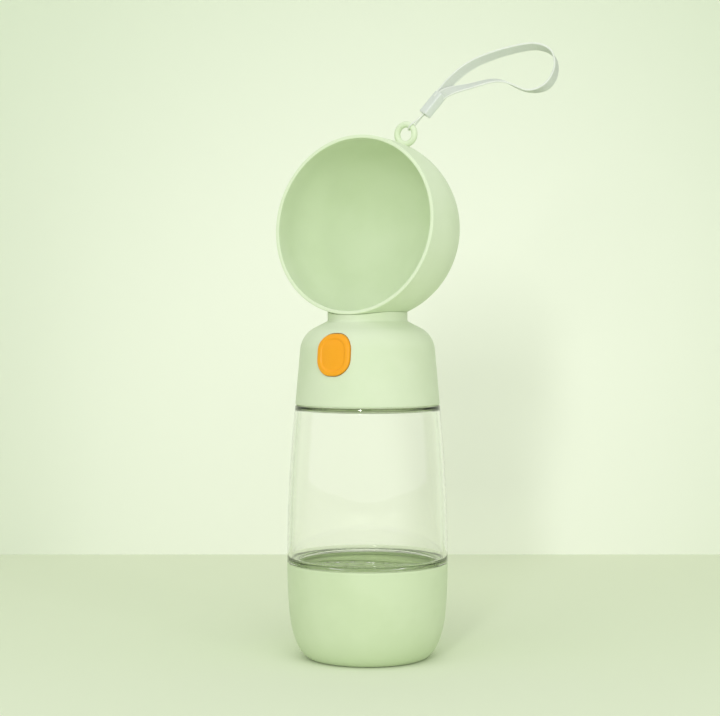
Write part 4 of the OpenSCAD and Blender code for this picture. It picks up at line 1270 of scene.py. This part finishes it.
def screwShape(length):
    # pan head below z = 0 with a cross recess, threaded shank up to length
    s = screw
    line = [(0, -s["headTall"])]
    line += arcPoints(s["head"] - s["headRound"], s["headRound"] - s["headTall"], s["headRound"], -90, 0, 6)
    line += [(s["head"], -s["headEdge"]), (s["head"] - s["headEdge"], 0), (s["shank"], 0)]
    z, top = s["threadEnds"][0], length - s["threadEnds"][1]
    while z < top:
        crest, foot = (z + s["pitch"] * t for t in s["ridge"])
        line += [(s["root"], z), (s["shank"], crest), (s["root"], foot)]
        z += s["pitch"]
    line += [(s["shank"] * share, length - back) for share, back in s["tip"]] + [(0, length)]
    mesh = turned(line, materials["steel"], 32)
    tidyMesh(mesh)
    slotTop = s["crossDeep"] - s["headTall"]
    halves = ((s["crossHalf"], s["cross"] / 2), (s["cross"] / 2, s["crossHalf"]))
    bars = [boxMesh((-x, -y, s["slotFoot"]), (x, y, slotTop), s["slotEdge"]) for x, y in halves]
    return addObject("screwShape", cut(mesh, bars))


def makeScrews(name, spots, length, upsideDown, replaced):
    shape = screwShape(length)
    start = bpy.data.meshes.new("spots")
    start.from_pydata([tuple(Vector(p) * mm) for p in spots], [], [])
    turn = start.attributes.new("turn", "FLOAT_VECTOR", "POINT")
    for i, item in enumerate(turn.data):
        item.vector = (math.pi if upsideDown else 0, 0, rad(screw["firstTurn"] + screw["nextTurn"] * i))
    mesh = grow("repeat", start, {"Shape": shape, "Finish": materials["steel"]})
    bpy.data.objects.remove(shape)
    addPiece(name, mesh, "steel", "head", replaced)


lid = {"top": 139.4, "screwX": 9.4, "screwY": (-11.5, 8.0)}
lidSpots = [(x * lid["screwX"], y, lid["top"]) for x in (-1, 1) for y in lid["screwY"]]
bowlSpots = [(x, y, collar["plate"][0]) for x, y in bossSpots()]
makeScrews("lidScrews", lidSpots, screw["lidLong"], True, "lid_screws")
makeScrews("bowlScrews", bowlSpots, screw["bowlLong"], False, "bowl_screws")


springs = {
    "wire": 0.6,
    "button": {"diameter": 5, "length": 10.29, "turns": 6.0, "travel": 2.5,
               "foot": (0, -27.24, 134.3), "held": (0, -16.95, 134.3)},
    "valve": {"diameter": 7.5, "length": 5.3, "turns": 3.5, "travel": 2.5,
              "foot": (0, -9, 139.95), "held": (0, -9, 139.95)},
}


def makeSpring(name, size, turn, replaced):
    start = bpy.data.meshes.new("foot")
    mesh = grow("spring", start, {
        "Diameter": size["diameter"] * mm, "Length": size["length"] * mm, "Turns": size["turns"],
        "Wire": springs["wire"] * mm, "Finish": materials["steel"],
    })
    mesh.transform(Matrix.Translation(Vector(size["foot"]) * mm) @ turn)
    piece = addPiece(name, mesh, "steel", "head", replaced)
    tuple(Vector(size["held"]) * mm)
    (size["length"] - size["travel"]) / size["length"]
    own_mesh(piece)


makeSpring("buttonSpring", springs["button"], Matrix.Rotation(rad(-90), 4, "X"), "button_spring")
makeSpring("valveSpring", springs["valve"], Matrix.Identity(4), "valve_spring")


keptFinishes = {
    "inner_cap": "innerPlastic", "chamber_lid": "innerPlastic", "outlet_tube": "innerPlastic",
    "valve_stem": "innerPlastic", "cup_seal": "softSeal", "mouth_seal": "softSeal",
    "chamber_seal": "softSeal", "outlet_seal": "softSeal", "valve_plug": "softSeal",
    "stem_seal": "softSeal", "stem_pin": "steel", "spring_washer": "steel", "seal_washer": "steel",
}
for node, finish in keptFinishes.items():
    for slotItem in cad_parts[node].material_slots:
        slotItem.material = materials[finish]


stage = {
    # floor to floorFar: painted shade, darker towards the back
    "wallBehind": 352, "floor": hexColour("E6EED6"), "floorFar": hexColour("E2EAD0"),
    # wallMid to wallEdge: painted pool of light on the wall and its darker edges
    "wallMid": hexColour("F5F9EB"), "wallEdge": hexColour("D5E0C8"), "world": 0.6,
    "floorHalf": 4000, "wallHalf": (2500, 1000), "brightAt": (0.025, 0.09), "bright": (0.08, 0.46),
    "aim": (0, 0, 130), "floorFade": (-0.25, 0.3), "floorGrain": 700, "wallGrain": 500,
}


def sheetMesh(name, centre, along, up, halfWide, halfTall):
    corners = ((-1, -1), (1, -1), (1, 1), (-1, 1))
    verts = [centre + along * x * halfWide + up * y * halfTall for x, y in corners]
    mesh = bpy.data.meshes.new(name)
    mesh.from_pydata([tuple(v * mm) for v in verts], [], [(0, 1, 2, 3)])
    piece = addObject(name, mesh)
    return piece


def stageMaterials():
    material, web = newMaterial("paperFloor")
    place = objectPlace(web)
    grain = web.noise(place, stage["floorGrain"], 3, 0.6)
    away = web.add("ShaderNodeVectorMath", {"operation": "DOT_PRODUCT"}, {
        0: place, 1: tuple(ahead),
    })["Value"]
    # painted shade: the floor turns darker further from the camera
    colour = web.mixColours(away.smooth(*stage["floorFade"]), stage["floor"], stage["floorFar"])
    finishMaterial(web, principled(web, {
        "Specular IOR Level": 0.2, "Base Color": colour,
        "Roughness": 0.75 + grain * 0.1, "Normal": web.bump(grain, 0.02 * mm, 0.3),
    }))
    wall, web = newMaterial("paperWall")
    place = objectPlace(web)
    # painted light: a pool of light on the wall behind the bottle, fading to darker edges
    side, tall = stage["brightAt"]
    middle = tuple(ahead * stage["wallBehind"] * mm + axisZ * tall + right * side)
    away = web.add("ShaderNodeVectorMath", {"operation": "DISTANCE"}, {0: place, 1: middle})["Value"]
    grain = web.noise(place, stage["wallGrain"], 3, 0.6)
    colour = web.mixColours(away.smooth(*stage["bright"]), stage["wallMid"], stage["wallEdge"])
    shader = principled(web, {
        "Specular IOR Level": 0.1, "Base Color": colour, "Roughness": 0.85,
        "Normal": web.bump(grain, 0.02 * mm, 0.2),
    })
    back = web.add("ShaderNodeNewGeometry")["Backfacing"]
    mixed = web.add("ShaderNodeMixShader", {}, {
        0: back, 1: shader, 2: web.add("ShaderNodeBsdfTransparent")["BSDF"],
    })
    finishMaterial(web, mixed["Shader"])
    return material, wall


paperFloor, paperWall = stageMaterials()
wallFoot = ahead * stage["wallBehind"]
floor = sheetMesh("floor", Vector((0, 0, 0)), right, ahead, stage["floorHalf"], stage["floorHalf"])
floor.data.materials.append(paperFloor)
wallWide, wallTall = stage["wallHalf"]
wall = sheetMesh("wall", wallFoot + axisZ * wallTall, right, axisZ, wallWide, wallTall)
wall.data.materials.append(paperWall)


# Soft boxes, each with its angle to the camera's side (minus is left) and above level as seen from the
# bottle, its distance, its size in metres, its power and whether the clear wall mirrors it
lamps = {
    "keyBox": (-12.5, 16, 1900, (0.14, 0.42), 7.4, True),
    "stripBox": (36, 14, 1700, (0.16, 1.2), 2.6, False),
    "frontBox": (2, 26, 1700, (1.0, 0.8), 3.8, False),
    "topBox": (-10, 66, 1500, (1.0, 1.0), 3.6, True),
}


def addLamp(name, side, up, away, size, power, mirrored):
    direction = (-ahead * cos(side) + right * sin(side)) * cos(up) + axisZ * sin(up)
    data = bpy.data.lights.new(name, "AREA")
    data.shape, data.size, data.size_y, data.energy = "RECTANGLE", size[0], size[1], power
    item = addObject(name, data)
    item.location = (Vector(stage["aim"]) + direction * away) * mm
    item.rotation_euler = direction.to_track_quat("Z", "Y").to_euler()
    item.visible_glossy = item.visible_transmission = mirrored


for name, values in lamps.items():
    addLamp(name, *values)
world = bpy.data.worlds.new("room")
world.use_nodes = True
world.node_tree.nodes.clear()
web = Web(world.node_tree)
path = web.add("ShaderNodeLightPath")
rays = path["Is Camera Ray"] + path["Is Glossy Ray"] + path["Is Transmission Ray"]
seen = rays.maths("MINIMUM", rays, 1)
room = web.add("ShaderNodeBackground", {}, {
    "Color": (1, 1, 1, 1), "Strength": stage["world"] + seen * (1 - stage["world"]),
})
web.add("ShaderNodeOutputWorld", {}, {"Surface": room["Background"]})
bpy.context.scene.world = world
print("stage and light ready")
